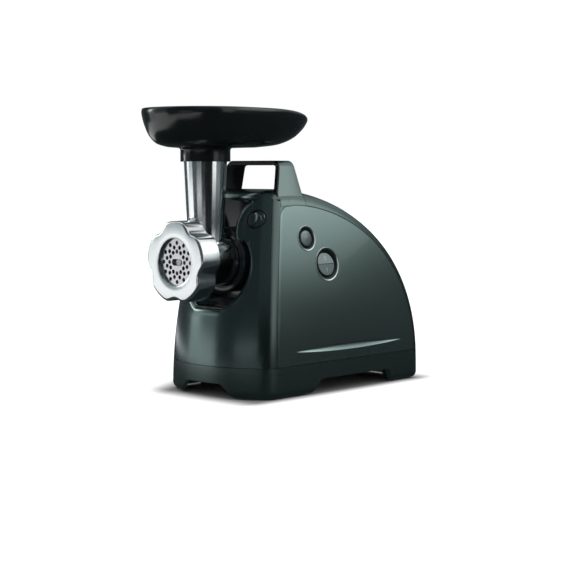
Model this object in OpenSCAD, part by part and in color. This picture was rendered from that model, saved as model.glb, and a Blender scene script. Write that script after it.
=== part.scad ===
// Electric meat grinder with a cast grinding head, a feed tray and a geared motor.
// The origin is on the table under the middle of the body. The meat outlet faces -Y, the buttons are
// on the +X side and +Z is up.

/* [Body] */
// Half the body's width where it meets the table
body_half_w = 85.7; // [82:0.1:92]
// How far each side leans in between the table and the crown
side_lean = 28; // [22:0.5:32]
// Height of the crown
crown_z = 243; // [238:1:250]
// Distance of the crown's highest line in front of the middle
crown_y = -75; // [-80:1:-70]
// How far the front leans back between the table and the crown
front_lean = 36; // [30:1:40]
// Where the front corners run into the flat sides, at the table
front_corner_y = -119.7; // [-124:0.1:-116]
// Radius of the front corners
front_corner_r = 28; // [24:1:32]
// Radius of the bowed front between its corners
front_bow_r = 132; // [115:1:160]
// Turn of the front corner that the front cover takes, from straight ahead
front_edge_angle = 58; // [52:1:64]
// How far back the body reaches
rear_y = 138.3; // [132:0.1:146]
// Radius of the shoulders at the crown
shoulder_r = 19.5; // [17:0.5:22]
// Radius of the body's edges at the rear of the base
rear_r = 10; // [8:0.5:12]
// How far back the crown cap reaches, as a share of the spine
crown_share = 0.09; // [0.07:0.01:0.12]
// Wall of the plastic shells
shell_wall = 2.8; // [2.2:0.1:3.4]
// Gap at the seams between shells
seam = 0.6; // [0.4:0.1:0.9]

/* [Base] */
// Height of the base
base_h = 36.8; // [33:0.1:41]
// Radius under the base's edge
base_round = 9; // [7:0.5:11]
// Clearance between the base's skirt and the table
skirt_lift = 1.5; // [1:0.1:2.5]
// Height of the hand cut-outs in the skirt
cutout_h = 17.5; // [14:0.5:18]
// Length of the side cut-outs at their top
side_cutout_l = 125; // [105:1:140]
// Middle of the side cut-outs
side_cutout_y = 15.5; // [5:0.5:25]
// Width of the front cut-out at its top
front_cutout_w = 58; // [48:1:66]
// How much further the cut-outs reach at their foot
cutout_flare = 17; // [12:1:19]
// Thickness of the bottom plate
bottom_plate_t = 3; // [2.4:0.1:4]
// Radius of the rubber feet
foot_r = 9; // [7.5:0.5:10]
// Height of the rubber feet
foot_h = 6; // [4:0.5:8]

/* [Handle] */
// Height of the handle's top
handle_z = 277; // [274:1:282]
// Half the handle's width at its top
handle_half_w = 45; // [42:0.5:47]
// Thickness of the handle's band
handle_t = 5.5; // [4.5:0.5:7]
// Front edge of the handle's grip
handle_front_y = -79; // [-82:0.5:-76]
// Depth of the handle's grip
handle_depth = 27; // [24:1:30]
// Radius of the handle's upper corners
handle_corner_r = 11; // [9:1:13]

/* [Grinding head] */
// Height of the auger's axis
auger_z = 159.8; // [157:0.1:163]
// Place of the feed tube's axis
tube_y = -156; // [-158:0.5:-154]
// Height of the feed tube's top
tube_top_z = 289; // [286:0.5:293]
// Outer radius of the feed tube at its top
tube_top_r = 25.8; // [25.4:0.1:26.6]
// Outer radius of the feed tube where it meets the barrel
tube_foot_r = 21.3; // [20.8:0.1:22.4]
// Radius of the feed tube's bore
tube_bore_r = 22; // [21.6:0.1:22.4]
// Length of the feed tube's straight bore
tube_bore_l = 40; // [34:1:46]
// Outer radius of the barrel
barrel_r = 30; // [29.4:0.1:31]
// Radius of the barrel's bore
barrel_bore_r = 26; // [25.6:0.1:26.6]
// Outer radius of the barrel's threaded end
thread_r = 36; // [35.4:0.1:37]
// Rear face of the barrel
barrel_rear_y = -113; // [-114:0.5:-112]
// Radius of the perforated plate
plate_r = 31; // [30.5:0.1:31.5]
// Thickness of the perforated plate
plate_t = 5; // [4:0.5:6]
// Radius of the plate's holes
plate_hole_r = 2.3; // [2:0.05:2.45]
// Radii of the plate's three rings of holes
plate_rings = [12.6, 17.6, 22.6];
// Holes in each ring
plate_ring_count = 12; // [10:1:12]
// Length of the slot in the plate's middle
plate_slot_l = 17.3; // [14:0.1:18]
// Width of the slot in the plate's middle
plate_slot_w = 7.4; // [7:0.1:7.8]

/* [Ring nut] */
// Front face of the ring nut
nut_front_y = -205.8; // [-207:0.1:-205]
// Length of the ring nut
nut_l = 28.5; // [27:0.5:30]
// Radius over the ring nut's lobes
nut_r = 48; // [47:0.1:50]
// Depth of the hollows between the lobes
nut_hollow = 5.8; // [4:0.1:6.5]
// Number of lobes
nut_lobes = 5; // [5:1:8]
// Radius of the opening in the nut's front
outlet_r = 27.6; // [27:0.1:28.5]
// Thickness of the nut's front lip
nut_lip = 4; // [3:0.1:4.5]

/* [Tray] */
// Height of the tray's rim over the tube's top
tray_h = 48; // [44:1:54]
// Reach of the tray in front of the tube's axis
tray_front = 73; // [66:1:76]
// Reach of the tray behind the tube's axis
tray_rear = 152; // [145:1:162]
// Half the tray's width
tray_half_w = 71; // [64:1:74]
// Wall of the tray
tray_wall = 2.6; // [2.2:0.1:3.2]
// Outer radius of the tray's sleeve
sleeve_r = 29.2; // [28.9:0.1:30]
// How far the sleeve reaches down the tube
sleeve_l = 13.5; // [11:0.5:16]

/* [Controls] */
// Centre of the power rocker, along the body and up
rocker_at = [-26.4, 153.1];
// Radius of the power rocker's cap
rocker_r = 14.4; // [13.5:0.1:15]
// Radius over the power rocker's bezel
rocker_bezel_r = 18.6; // [18:0.1:19.6]
// Half the rocker's swing, in degrees
rocker_tilt = 6; // [4:0.5:7]
// Centre of the reverse button, along the body and up
reverse_at = [-57.2, 184.9];
// Radius of the reverse button's cap
reverse_r = 9.8; // [9:0.1:10.4]
// Radius over the reverse button's bezel
reverse_bezel_r = 13.4; // [12.8:0.1:14]
// Travel of the reverse button
reverse_travel = 2.5; // [1.5:0.1:3]
// Sideways place of the head's lock button, from where the front's corner begins
lock_offset = 9.45; // [8:0.05:11]
// Height of the head's lock button
lock_z = 208.7; // [206:0.1:211]
// Radius of the lock button's well
lock_well_r = 11.4; // [10.8:0.1:12]
// Travel of the lock button
lock_travel = 3; // [2:0.1:3.2]

/* [Drive] */
// Teeth on each pinion
pinion_teeth = 10; // [10:1:10]
// Teeth on each wheel
wheel_teeth = 40; // [40:1:40]
// Tooth modules of the three stages, from the motor on
modules = [1, 1.25, 1.5];
// Pressure angle of the teeth
pressure_angle = 25; // [25:1:25]
// Directions in which each axle lies from the one it drives, from the output on
axle_angles = [-60, -130, -87];
// Widths of the three stages' wheels
wheel_widths = [8, 10, 13];
// Radius of the output shaft
output_shaft_r = 8; // [7:0.5:9]
// Radius of the fixed layshaft pins
layshaft_pin_r = 3; // [2.5:0.1:3.5]
// Radius of the motor's shaft
motor_shaft_r = 3.5; // [3:0.1:4]
// Side of the motor's square core
core_side = 76; // [72:1:80]
// Length of the motor's core
core_l = 45; // [40:1:50]
// Radius of the armature
armature_r = 22.8; // [22:0.1:23.2]
// Running clearance of shafts in their bearings
running = 0.05; // [0.02:0.01:0.09]

/* [Cord inlet] */
// Radius of the cord's hole
cord_r = 3.6; // [3.2:0.1:4]
// Sideways place of the cord inlet
cord_x = -45; // [-55:1:-35]

/* [Hidden] */
$fn = 96;
EPS = 0.01;
FIT = 0.3;                        // loose fit between parts that move by hand
SNUG = 0.1;                       // fit between parts that stay together

// The spine's curve, as seen from the side: a cubic from the crown to the rear of the base
spine_z0 = base_h + seam;
spine_curve = [[crown_y, crown_z], [crown_y + 101, crown_z - 8],
               [rear_y - 1.2, base_h + 142], [rear_y, spine_z0]];
crown_drop = 0.0064;              // fall of the crown towards the front, per mm squared
crown_rise = 0.08;                // slope of the crown at its highest line
panel_wrap = 80.5;                // turn of the front corner at which the side panels begin
shell_w = shell_wall + seam;

// Grinding head along its axis
plate_front_y = nut_front_y + nut_lip + 0.2;
barrel_front_y = plate_front_y;
plate_rear_y = plate_front_y + plate_t;
nut_rear_y = nut_front_y + nut_l;
thread_rear_y = nut_rear_y - 1;
knife_t = 6;
knife_rear_y = plate_rear_y + SNUG + knife_t;
auger_front_y = knife_rear_y + SNUG;
head_wall = 4;
auger_rear_y = barrel_rear_y - head_wall - 1;
auger_stud_r = 4;
auger_square = 11;
lug_y = barrel_rear_y - 9;
lug_r = 34;
lug_l = 4;
collar_bore_r = barrel_r + 0.5;
collar_r = 39;
collar_front_y = -131;
recess_back_y = barrel_rear_y + 0.7;
recess_t = 3;
lock_floor_y = recess_back_y + recess_t;
latch_y = lock_floor_y + 0.4;
latch_t = 1.6;

// Gear train: the axles in order output, second layshaft, first layshaft, armature
gear_wall_y = latch_y + latch_t + lock_travel + 0.5;
gearbox_wall = 3;
gear_gap = 1.5;
stage_front = [gear_wall_y + gearbox_wall + gear_gap,
               gear_wall_y + gearbox_wall + 2 * gear_gap + wheel_widths[2],
               gear_wall_y + gearbox_wall + 3 * gear_gap + wheel_widths[2] + wheel_widths[1]];
gear_rear_y = stage_front[2] + wheel_widths[0] + gear_gap;
function stage_distance(k) = modules[k] * (pinion_teeth + wheel_teeth) / 2;
function step_to(angle, d) = d * [cos(angle), sin(angle)];
output_at = [0, auger_z];
second_at = output_at + step_to(axle_angles[0], stage_distance(2));
first_at = second_at + step_to(axle_angles[1], stage_distance(1));
armature_at = first_at + step_to(axle_angles[2], stage_distance(0));
drive_socket_r = 13;
drive_front_y = barrel_rear_y + 0.2;

// Motor along its axis
fan_y = gear_rear_y + gearbox_wall + 10;
fan_l = 10;
core_y = fan_y + fan_l + 22;
coil_reach = 11;
coil_x = 28;
commutator_y = core_y + core_l + 17;
commutator_l = 16;
commutator_r = 13;
shaft_rear_y = commutator_y + commutator_l + 18;
bearing_r = 11;
bearing_l = 7;

// Controls
rocker_sink = 5.4;                // depth of the rocker's axle under the side's surface
rocker_gap = 0.6;
axle_r = 1.5;
power_bezel_l = 14;
switch_w = 26;
reverse_stem_l = 11;
bezel_mouth = 2.6;
lock_x = corner_x(lock_z) + lock_offset;
lock_y = front_y_at(lock_x, lock_z);
lock_proud = 1.2;
lock_cap_l = 5.6;                 // reach of the cap behind the front's surface
lock_spring_y = lock_y + 3.3;
lock_floor_t = 1.2;
latch_pin_at = output_at + step_to(44, collar_r - 3);

bottom_plate_z = cutout_h + 1;
feet = [[60, -98], [-60, -98], [62, 108], [-62, 108]];

COAL = [0.17, 0.21, 0.21];
BLACK = [0.06, 0.07, 0.08];
ALU = [0.83, 0.84, 0.85];
STEEL = [0.62, 0.63, 0.65];
COPPER = [0.72, 0.42, 0.22];
NYLON = [0.86, 0.84, 0.78];

// ---- Shared outlines ----

function mix(a, b, t) = a + (b - a) * t;
function bezier(p, t) = pow(1 - t, 3) * p[0] + 3 * pow(1 - t, 2) * t * p[1]
                      + 3 * (1 - t) * t * t * p[2] + pow(t, 3) * p[3];
function bezier_slope(p, t) = pow(1 - t, 2) * (p[1] - p[0]) + 2 * (1 - t) * t * (p[2] - p[1])
                            + t * t * (p[3] - p[2]);
function unit(v) = v / norm(v);
function arc(c, r, a0, a1, n) = [for (i = [0:n]) c + r * [cos(mix(a0, a1, i / n)), sin(mix(a0, a1, i / n))]];
function mirrored(half) = concat(half, [for (i = [len(half) - 1:-1:0]) [-half[i][0], half[i][1]]]);

// Half width of the body and lean of its front at a height
function half_w(z) = body_half_w - side_lean * pow(z / crown_z, 2);
function lean(z) = front_lean * pow(z / crown_z, 2);
function corner_x(z) = half_w(z) - front_corner_r;
function corner_y(z) = front_corner_y + lean(z);
function bow_y(z) = corner_y(z) + sqrt(pow(front_bow_r - front_corner_r, 2) - pow(corner_x(z), 2));
function bow_angle(z) = asin(corner_x(z) / (front_bow_r - front_corner_r));

// A point of the front's outline at a height: a is the turn of its surface from straight ahead
function front_at(z, a, inset = 0) =
    let (right = abs(a),
         on_bow = right < bow_angle(z),
         c = on_bow ? [0, bow_y(z)] : [corner_x(z), corner_y(z)],
         r = (on_bow ? front_bow_r : front_corner_r) - inset,
         p = c + r * [sin(right), -cos(right)])
    [a < 0 ? -p[0] : p[0], p[1]];

// Y of the front at a place across the body
function front_y_at(x, z, inset = 0) =
    let (u = abs(x) - corner_x(z), bow_x = (front_bow_r - inset) * sin(bow_angle(z)))
    abs(x) < bow_x
        ? bow_y(z) - sqrt(pow(front_bow_r - inset, 2) - x * x)
        : corner_y(z) - sqrt(max(0, pow(front_corner_r - inset, 2) - u * u));
function panel_front_y(z) = corner_y(z) - front_corner_r * cos(panel_wrap);

// The body's plan at a height, anticlockwise, for the base
function plan(z, inset = 0) = mirrored_y([
    for (i = [0:14]) front_at(z, i * 90 / 14, inset),
    for (p = arc([half_w(z) - rear_r, rear_y - rear_r], rear_r - inset, 0, 90, 6)) p]);
function mirrored_y(half) = concat(half, [for (i = [len(half) - 1:-1:1]) [-half[i][0], half[i][1]]]);

// Cross-section of the crown and spine: [side, turn of the surface from straight up]
roof_section = [for (i = [6:-1:1]) [-1, i * 15], for (x = [-1:0.25:1]) [x, 0], for (i = [1:6]) [1, i * 15]];
function spine_edge_r(t) = shoulder_r - (shoulder_r - rear_r) * sqrt(t);

// A point of the roof, from a point p of its profile, the outward normal n there and the edge radius r
function roof_point(p, n, r, s, inset) =
    let (q = p - n * (r - (r - inset) * cos(s[1])), x = half_w(q[1]) - r + (r - inset) * sin(s[1]))
    [s[1] > 0 ? s[0] * x : s[0] * (half_w(q[1]) - r), q[0], q[1]];
function spine_row(t, inset) =
    let (d = unit(bezier_slope(spine_curve, t)), p = bezier(spine_curve, t))
    [for (s = roof_section) roof_point(p, [-d[1], d[0]], spine_edge_r(t), s, inset)];
function spine_seam(t, depth) =
    let (d = unit(bezier_slope(spine_curve, t)), p = bezier(spine_curve, t))
    p - [-d[1], d[0]] * depth;

// The crown's middle line: along the spine behind its highest line, and down to the front cover before it
function spine_t(y, t = 0, tries = 4) = tries == 0 ? t
    : spine_t(y, t + (y - bezier(spine_curve, t)[0]) / bezier_slope(spine_curve, t)[0] / 3, tries - 1);
function crown_profile_z(y) =
    let (u = crown_y - y)
    u < 0 ? bezier(spine_curve, spine_t(y))[1] : crown_z + crown_rise * u - crown_drop * u * u;
function crown_row(v, inset) = [for (s = roof_section)
    let (x_top = roof_point([crown_y, crown_z], [0, 1], shoulder_r, s, inset),
         inside = abs(x_top[0]) < half_w(x_top[2]) - 2.2 * shell_w,
         front = min(inside ? front_y_at(x_top[0], x_top[2], shell_w) : 0, panel_front_y(x_top[2]) + seam),
         y = mix(crown_y, front, v))
    roof_point([y, crown_profile_z(y)], [0, 1], shoulder_r, s, inset)];

// Height of the roof over a point, found by a few guesses because the body narrows upwards
function roof_z(x, y) =
    let (top = crown_profile_z(y), r = y > crown_y ? spine_edge_r(spine_t(y)) : shoulder_r)
    roof_guess(x, top, r, top, 6);
function roof_guess(x, top, r, z, tries) =
    tries == 0 ? z : roof_guess(x, top, r, top - roof_drop(x, z, r), tries - 1);
function roof_drop(x, z, r) =
    let (u = abs(x) - (half_w(z) - r)) u < 0 ? 0 : r - sqrt(max(0, r * r - u * u));

// ---- Shared solids ----

// Two triangles of a four-sided face, given anticlockwise as seen from outside
function quad(a, b, c, d) = [[a, c, b], [a, d, c]];

// Closed skin between an outer and an inner grid of points, both rows x columns. The rows go up and the
// columns to the right as seen from outside.
module skin(outer, inner) {
    rows = len(outer);
    cols = len(outer[0]);
    function at(side, i, j) = (side * rows + i) * cols + j;
    faces = [
        for (i = [0:rows - 2], j = [0:cols - 2])
            for (f = quad(at(0, i, j), at(0, i, j + 1), at(0, i + 1, j + 1), at(0, i + 1, j))) f,
        for (i = [0:rows - 2], j = [0:cols - 2])
            for (f = quad(at(1, i, j), at(1, i + 1, j), at(1, i + 1, j + 1), at(1, i, j + 1))) f,
        for (i = [0:rows - 2])
            for (f = quad(at(0, i, 0), at(0, i + 1, 0), at(1, i + 1, 0), at(1, i, 0))) f,
        for (i = [0:rows - 2])
            for (f = quad(at(0, i + 1, cols - 1), at(0, i, cols - 1), at(1, i, cols - 1),
                          at(1, i + 1, cols - 1))) f,
        for (j = [0:cols - 2])
            for (f = quad(at(0, 0, j + 1), at(0, 0, j), at(1, 0, j), at(1, 0, j + 1))) f,
        for (j = [0:cols - 2])
            for (f = quad(at(0, rows - 1, j), at(0, rows - 1, j + 1), at(1, rows - 1, j + 1),
                          at(1, rows - 1, j))) f];
    polyhedron(concat(flat(outer), flat(inner)), faces);
}
function flat(grid) = [for (row = grid) for (p = row) p];

// Closed solid through rings of points, each anticlockwise as seen against the way the stack goes. Its
// two ends are fans about their middles.
module stack(rings) {
    n = len(rings[0]);
    last = len(rings) - 1;
    foot = (last + 1) * n;
    polyhedron(concat(flat(rings), [middle(rings[0]), middle(rings[last])]), [
        for (j = [0:n - 1]) [foot, j, (j + 1) % n],
        for (j = [0:n - 1]) [foot + 1, last * n + (j + 1) % n, last * n + j],
        for (i = [0:last - 1], j = [0:n - 1])
            let (k = (j + 1) % n)
            for (f = quad(i * n + j, i * n + k, (i + 1) * n + k, (i + 1) * n + j)) f]);
}
function total(v, i = 0) = i == len(v) - 1 ? v[i] : v[i] + total(v, i + 1);
function middle(ring) = total(ring) / len(ring);

// A cylinder or a ring along Y, from y0 to y1, about an axle at [x, z]
module rod(at, y0, y1, r) {
    translate([at[0], y0, at[1]]) rotate([-90, 0, 0]) cylinder(h = y1 - y0, r = r);
}
module tube(at, y0, y1, r, bore) {
    difference() {
        rod(at, y0, y1, r);
        rod(at, y0 - 1, y1 + 1, bore);
    }
}
// A flat outline in X and Z, thickened from y0 to y1
module slab(y0, y1) {
    translate([0, y1, 0]) rotate([90, 0, 0]) linear_extrude(y1 - y0) children();
}
// A flat outline in Y and Z, thickened from x0 to x1
module side_slab(x0, x1) {
    translate([x0, 0, 0]) rotate([90, 0, 90]) linear_extrude(x1 - x0) children();
}
module block(low, high) {
    translate(low) cube(high - low);
}

// ---- Base ----

module base() color(COAL) difference() {
    union() {
        stack([for (z = [skirt_lift, 3, 5, 7, base_round, base_h / 2, base_h])
            [for (p = plan(z, edge_inset(z))) [p[0], p[1], z]]]);
        translate([0, 0, base_h - 2]) linear_extrude(base_lip + 2) polygon(plan(base_h, shell_wall + FIT));
    }
    translate([0, 0, -1]) linear_extrude(base_h) polygon(plan(0, base_wall + ledge));
    translate([0, 0, bottom_plate_z]) linear_extrude(deck_z - bottom_plate_z) polygon(plan(0, base_wall));
    translate([0, 0, deck_z - 1]) linear_extrude(20) polygon(plan(base_h, shell_wall + FIT + base_wall));
    side_slab(-200, 200) cutout(side_cutout_y, side_cutout_l, [cutout_flare, cutout_flare / 3]);
    slab(-200, 0) cutout(0, front_cutout_w, [cutout_flare, cutout_flare]);
    rod(cord_at, rear_y - 20, rear_y + 1, gland_r);
}
base_wall = 3;
ledge = 4;                        // step that the bottom plate rests on
base_lip = 3.5;                   // rim of the base that stands inside the shells
deck_z = base_h - 4;              // underside of the rim's shoulder
gland_r = cord_r + 2;
cord_at = [cord_x, (bottom_plate_z + bottom_plate_t + deck_z) / 2];
function edge_inset(z) = z < base_round ? base_round - sqrt(pow(base_round, 2) - pow(base_round - z, 2)) : 0;

// A hand cut-out in the skirt: a low trapezium, open at the foot and wider there by flare at its two ends
module cutout(middle, top_l, flare) {
    polygon([[middle - top_l / 2 - flare[0], -1], [middle + top_l / 2 + flare[1], -1],
             [middle + top_l / 2, cutout_h], [middle - top_l / 2, cutout_h]]);
}

module bottom_plate() color(BLACK) difference() {
    union() {
        translate([0, 0, bottom_plate_z]) linear_extrude(bottom_plate_t)
            polygon(plan(bottom_plate_z, base_wall + FIT));
        for (at = feet)
            translate([at[0], at[1], foot_h]) cylinder(h = bottom_plate_z - foot_h + 1, r = foot_r + 1);
        for (side = [-1, 1], y = [core_y + 4, core_y + core_l - 12])
            block([side * core_side / 3 - 5, y, bottom_plate_z + 1],
                  [side * core_side / 3 + 5, y + 8, armature_at[1] - core_side / 2]);
    }
    for (i = [-4:4])
        translate([i * 9 - 2, core_y, bottom_plate_z - 1]) cube([4, core_l, bottom_plate_t + 2]);
    for (at = feet) translate([at[0], at[1], foot_h - 1]) cylinder(h = 4, r = foot_r / 2);
}

module foot(at) color(BLACK) translate(at) {
    cylinder(h = foot_h, r1 = foot_r - 1, r2 = foot_r);
    cylinder(h = foot_h + 3, r = foot_r / 2);
}

// ---- Body shells ----

function front_top(a, inset) =
    let (p = front_at(crown_z, a, inset), z = roof_z(p[0], p[1]), q = front_at(z, a, inset))
    roof_z(q[0], q[1]);
function front_grid(a0, a1, cols, inset, rows = 12, gap = 0) =
    [for (i = [0:rows]) [for (j = [0:cols])
        let (a = mix(a0, a1, j / cols), z = mix(base_h + seam, front_top(a, inset) - gap, i / rows),
             p = front_at(z, a, inset)) [p[0], p[1], z]]];

// Outline of the opening for the grinding head, in X and Z
chamber_r = 51.5;                 // round the barrel
chamber_z = auger_z - 10;
lobe_r = 32;                      // lobes at both sides of the feed tube
lobe_at = [lock_x + 7.5, auger_z + 42];
opening_foot_z = chamber_z - 47;
opening_top_z = auger_z + 73;
opening_top_r = 200;
function opening(inset = 0) = mirrored(concat(
    arc([0, chamber_z], chamber_r - inset, -65, 42, 16),
    arc(lobe_at, lobe_r + inset, 215, 122, 12),
    arc([0, opening_top_z - opening_top_r], opening_top_r - inset, 81, 88, 2)));

// Everything between the front cover's surface, set in by inset, and the crown's highest line
module front_solid(inset) {
    face = front_grid(-front_edge_angle, front_edge_angle, 16, inset, 8);
    skin(face, [for (row = face) [for (p = row) [p[0], crown_y, p[2]]]]);
}

module front_cover() color(COAL) difference() {
    skin(front_grid(-front_edge_angle, front_edge_angle, 26, 0),
         front_grid(-front_edge_angle, front_edge_angle, 26, shell_wall));
    slab(-200, -90) polygon(opening());
    rod(lock_at, lock_y - 20, lock_y + 20, lock_well_r + SNUG);
}

module column(side) color(COAL) {
    gap = seam / front_corner_r * 60;
    a0 = front_edge_angle + gap / 2;
    a1 = panel_wrap;
    from = side > 0 ? a0 : -a1;
    to = side > 0 ? a1 : -a0;
    skin(front_grid(from, to, 4, 0, gap = seam), front_grid(from, to, 4, shell_wall, gap = seam));
}

module crown_cap() color(COAL)
    skin(crown_grid(0), crown_grid(shell_wall));
function crown_grid(inset) = [
    for (i = [5:-1:0]) crown_row(i / 5, inset),
    for (i = [1:3]) spine_row(crown_share * i / 3, inset)];

module spine_cover() color(COAL)
    skin([for (i = [0:26]) spine_row(mix(spine_cut, 1, i / 26), 0)],
         [for (i = [0:26]) spine_row(mix(spine_cut, 1, i / 26), shell_wall)]);
spine_cut = crown_share + seam / 300;

// Side panel: a curved strip, cut to its outline as seen from the side
panel_strip_n = 20;
function panel_z(i) = mix(base_h + seam, crown_z, i / panel_strip_n);
module panel_strip(side, y0, y1)
    slab(y0, y1) polygon(concat(
        [for (i = [0:panel_strip_n]) [side * half_w(panel_z(i)), panel_z(i)]],
        [for (i = [panel_strip_n:-1:0]) [side * (half_w(panel_z(i)) - shell_wall), panel_z(i)]]));
module panel_outline() polygon(concat(
    [for (i = [0:26]) let (t = i / 26) spine_seam(t, spine_edge_r(t) + seam)],
    [for (i = [0:8]) let (z = mix(base_h + seam, crown_z - shoulder_r - seam, i / 8))
        [panel_front_y(z) + seam, z]]));
module side_panel(side) color(COAL) intersection() {
    panel_strip(side, -140, 140);
    side_slab(-100, 100) panel_outline();
}
module left_side_panel() difference() {
    side_panel(-1);
    panel_groove(-1);
}
module right_side_panel() difference() {
    side_panel(1);
    on_side(rocker_at) rod_x(-10, 10, rocker_bezel_r + SNUG);
    on_side(reverse_at) rod_x(-10, 10, reverse_bezel_r + SNUG);
    panel_groove(1);
}
// A place on the right side's surface, at [y, z], with +X along the surface's normal
function side_turn(z) = atan(2 * side_lean * z / crown_z / crown_z);
module on_side(at) translate([half_w(at[1]), at[0], at[1]]) rotate([0, -side_turn(at[1]), 0]) children();
module rod_x(x0, x1, r) {
    translate([x0, 0, 0]) rotate([0, 90, 0]) cylinder(h = x1 - x0, r = r);
}
// A shallow pointed groove along the panel's lower part
groove_l = 198;
groove_r = 1300;
groove_depth = 0.9;
groove_at = [5.8, 52.8];
module panel_groove(side) {
    x = half_w(groove_at[1]);
    rise = sqrt(groove_r * groove_r - groove_l * groove_l / 4);
    side_slab(side > 0 ? x - groove_depth : -x - 2, side > 0 ? x + 2 : -x + groove_depth)
        translate(groove_at) intersection() {
            translate([0, -rise]) circle(r = groove_r, $fn = 360);
            translate([0, rise]) circle(r = groove_r, $fn = 360);
            square([groove_l, 40], center = true);
        }
}

// ---- Handle ----

handle_lean = 17.5;               // turn of the legs from upright
handle_flare_z = 36;              // height over which the legs widen
handle_flare = [14.5, 3];         // widening to the front and to the rear
lining_t = 2;
function handle_spread(z) = pow(max(0, min(1, (crown_z + 30 - z) / handle_flare_z)), 1.1);
function handle_half(inset) =
    let (c = [handle_half_w - handle_corner_r, handle_z - handle_corner_r],
         r = handle_corner_r - inset,
         start = c + r * [cos(handle_lean), sin(handle_lean)],
         fall = start[1] - (crown_z - 10))
    concat([for (k = [1, 0.7, 0.52, 0.34, 0.17])
                start + k * fall * [tan(handle_lean), -1]], arc(c, r, handle_lean, 90, 6));
function handle_path(inset) = mirrored(handle_half(inset));
function handle_corner(p, y, foot) = [p[0], y, foot ? roof_z(p[0], y) + 0.65 : p[1]];
module handle_band(outer_inset, inner_inset) {
    outer = handle_path(outer_inset);
    inner = handle_path(inner_inset);
    whole = handle_path(0);
    last = len(whole) - 1;
    stack([for (i = [0:last]) let (
        spread = handle_spread(whole[i][1]), foot = i == 0 || i == last,
        front = handle_front_y - spread * handle_flare[0],
        rear = handle_front_y + handle_depth + spread * handle_flare[1])
        concat([for (k = [0:4]) handle_corner(outer[i], mix(front, rear, k / 4), foot)],
               [for (k = [4:-1:0]) handle_corner(inner[i], mix(front, rear, k / 4), foot)])]);
}
module handle() color(COAL) handle_band(0, handle_t - lining_t);
module handle_lining() color(BLACK) handle_band(handle_t - lining_t + 3 * SNUG, handle_t);

// ---- Recess and socket behind the grinding head ----

module head_recess() color(BLACK) difference() {
    union() {
        intersection() {
            front_solid(0.5);
            slab(-200, recess_back_y + recess_t) polygon(opening(SNUG));
            union() {
                slab(-200, recess_back_y + recess_t) difference() {
                    polygon(opening());
                    polygon(opening(recess_rim));
                }
                side_slab(-ledge_half_w, ledge_half_w) polygon(ledge_profile);
                rod(output_at, collar_front_y, recess_back_y + 1, collar_r);
            }
        }
        slab(recess_back_y, recess_back_y + recess_t) polygon(opening(SNUG));
        for (at = boss_places) rod(at, recess_back_y + 1, gear_wall_y, 4.5);
    }
    rod(output_at, collar_front_y - 1, recess_back_y, collar_bore_r);
    rod(output_at, lug_y - FIT, lug_y + lug_l + FIT, lug_r + 0.5);
    for (k = [0:2]) lug_block(k * 120 + head_twist, collar_front_y - 1, lug_y + lug_l, lug_r + 0.5, 1);
    rod(output_at, recess_back_y - 1, recess_back_y + recess_t + 1, drive_socket_r + 1.5);
    rod(latch_pin_at, recess_back_y - 6, recess_back_y + recess_t + 1, latch_pin_r + FIT);
}
recess_rim = 2.4;
ledge_half_w = 36;
ledge_profile = [[-165, opening_foot_z], [-146, opening_foot_z + 3.5], [-133, opening_foot_z + 12.5],
                 [recess_back_y + 1, opening_foot_z + 12.5], [recess_back_y + 1, opening_foot_z]];
head_twist = 45;
latch_pin_r = 2.5;
boss_places = [[-30, auger_z + 18], [30, auger_z - 22], [-24, auger_z - 24]];
module lug_block(angle, y0, y1, r, grow) {
    translate([0, 0, auger_z]) rotate([0, angle, 0])
        block([-6 - grow, y0, barrel_r - 4], [6 + grow, y1, r - 0.3]);
}

// ---- Controls ----

// A shallow round bezel with a dished mouth, about X from the side's surface inwards
module bezel(r, bore, depth)
    rotate([0, 90, 0]) rotate_extrude()
        polygon([[bore, -depth], [r, -depth], [r, 0.2], [r - 1.2, 0.6],
                 [bore + 0.6, -bezel_mouth], [bore, -bezel_mouth]]);
module power_bezel() color(BLACK) on_side(rocker_at) difference() {
    bezel(rocker_bezel_r, rocker_r + rocker_gap, power_bezel_l);
    rocker_axle(rocker_bezel_r - 1, axle_r + running);
}
module reverse_bezel() color(BLACK) on_side(reverse_at)
    bezel(reverse_bezel_r, reverse_r + FIT, reverse_stem_l);

// The rocker rests with its upper half pressed in
module power_rocker() color(BLACK) on_side(rocker_at) {
    translate([-rocker_sink, 0, 0]) rotate([0, -rocker_tilt, 0]) intersection() {
        rod_x(-3, rocker_sink, rocker_r);
        slab(-30, 30) polygon([[-3, -20], [rocker_sink - 0.8, -20], [rocker_sink - 2.2, 0],
                               [rocker_sink - 0.8, 20], [-3, 20]]);
    }
    rocker_axle(rocker_bezel_r - 1.5, axle_r);
}
module rocker_axle(reach, r) translate([-rocker_sink, 0, 0]) rod([0, 0], -reach, reach, r);
module power_switch() color(BLACK) on_side(rocker_at) {
    rod_x(2 - power_bezel_l, -rocker_sink - 5, rocker_r + rocker_gap - SNUG);
    translate([-power_bezel_l - 1, -8, -8]) cube([4, 16, 16]);
    difference() {
        translate([-power_bezel_l - 18, -switch_w / 2, -switch_w / 2 + 3]) cube([18, switch_w, switch_w - 6]);
        for (y = [-6, 6]) translate([-power_bezel_l - 19, y - 1, -3]) cube([8, 2, 6]);
    }
}

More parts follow.
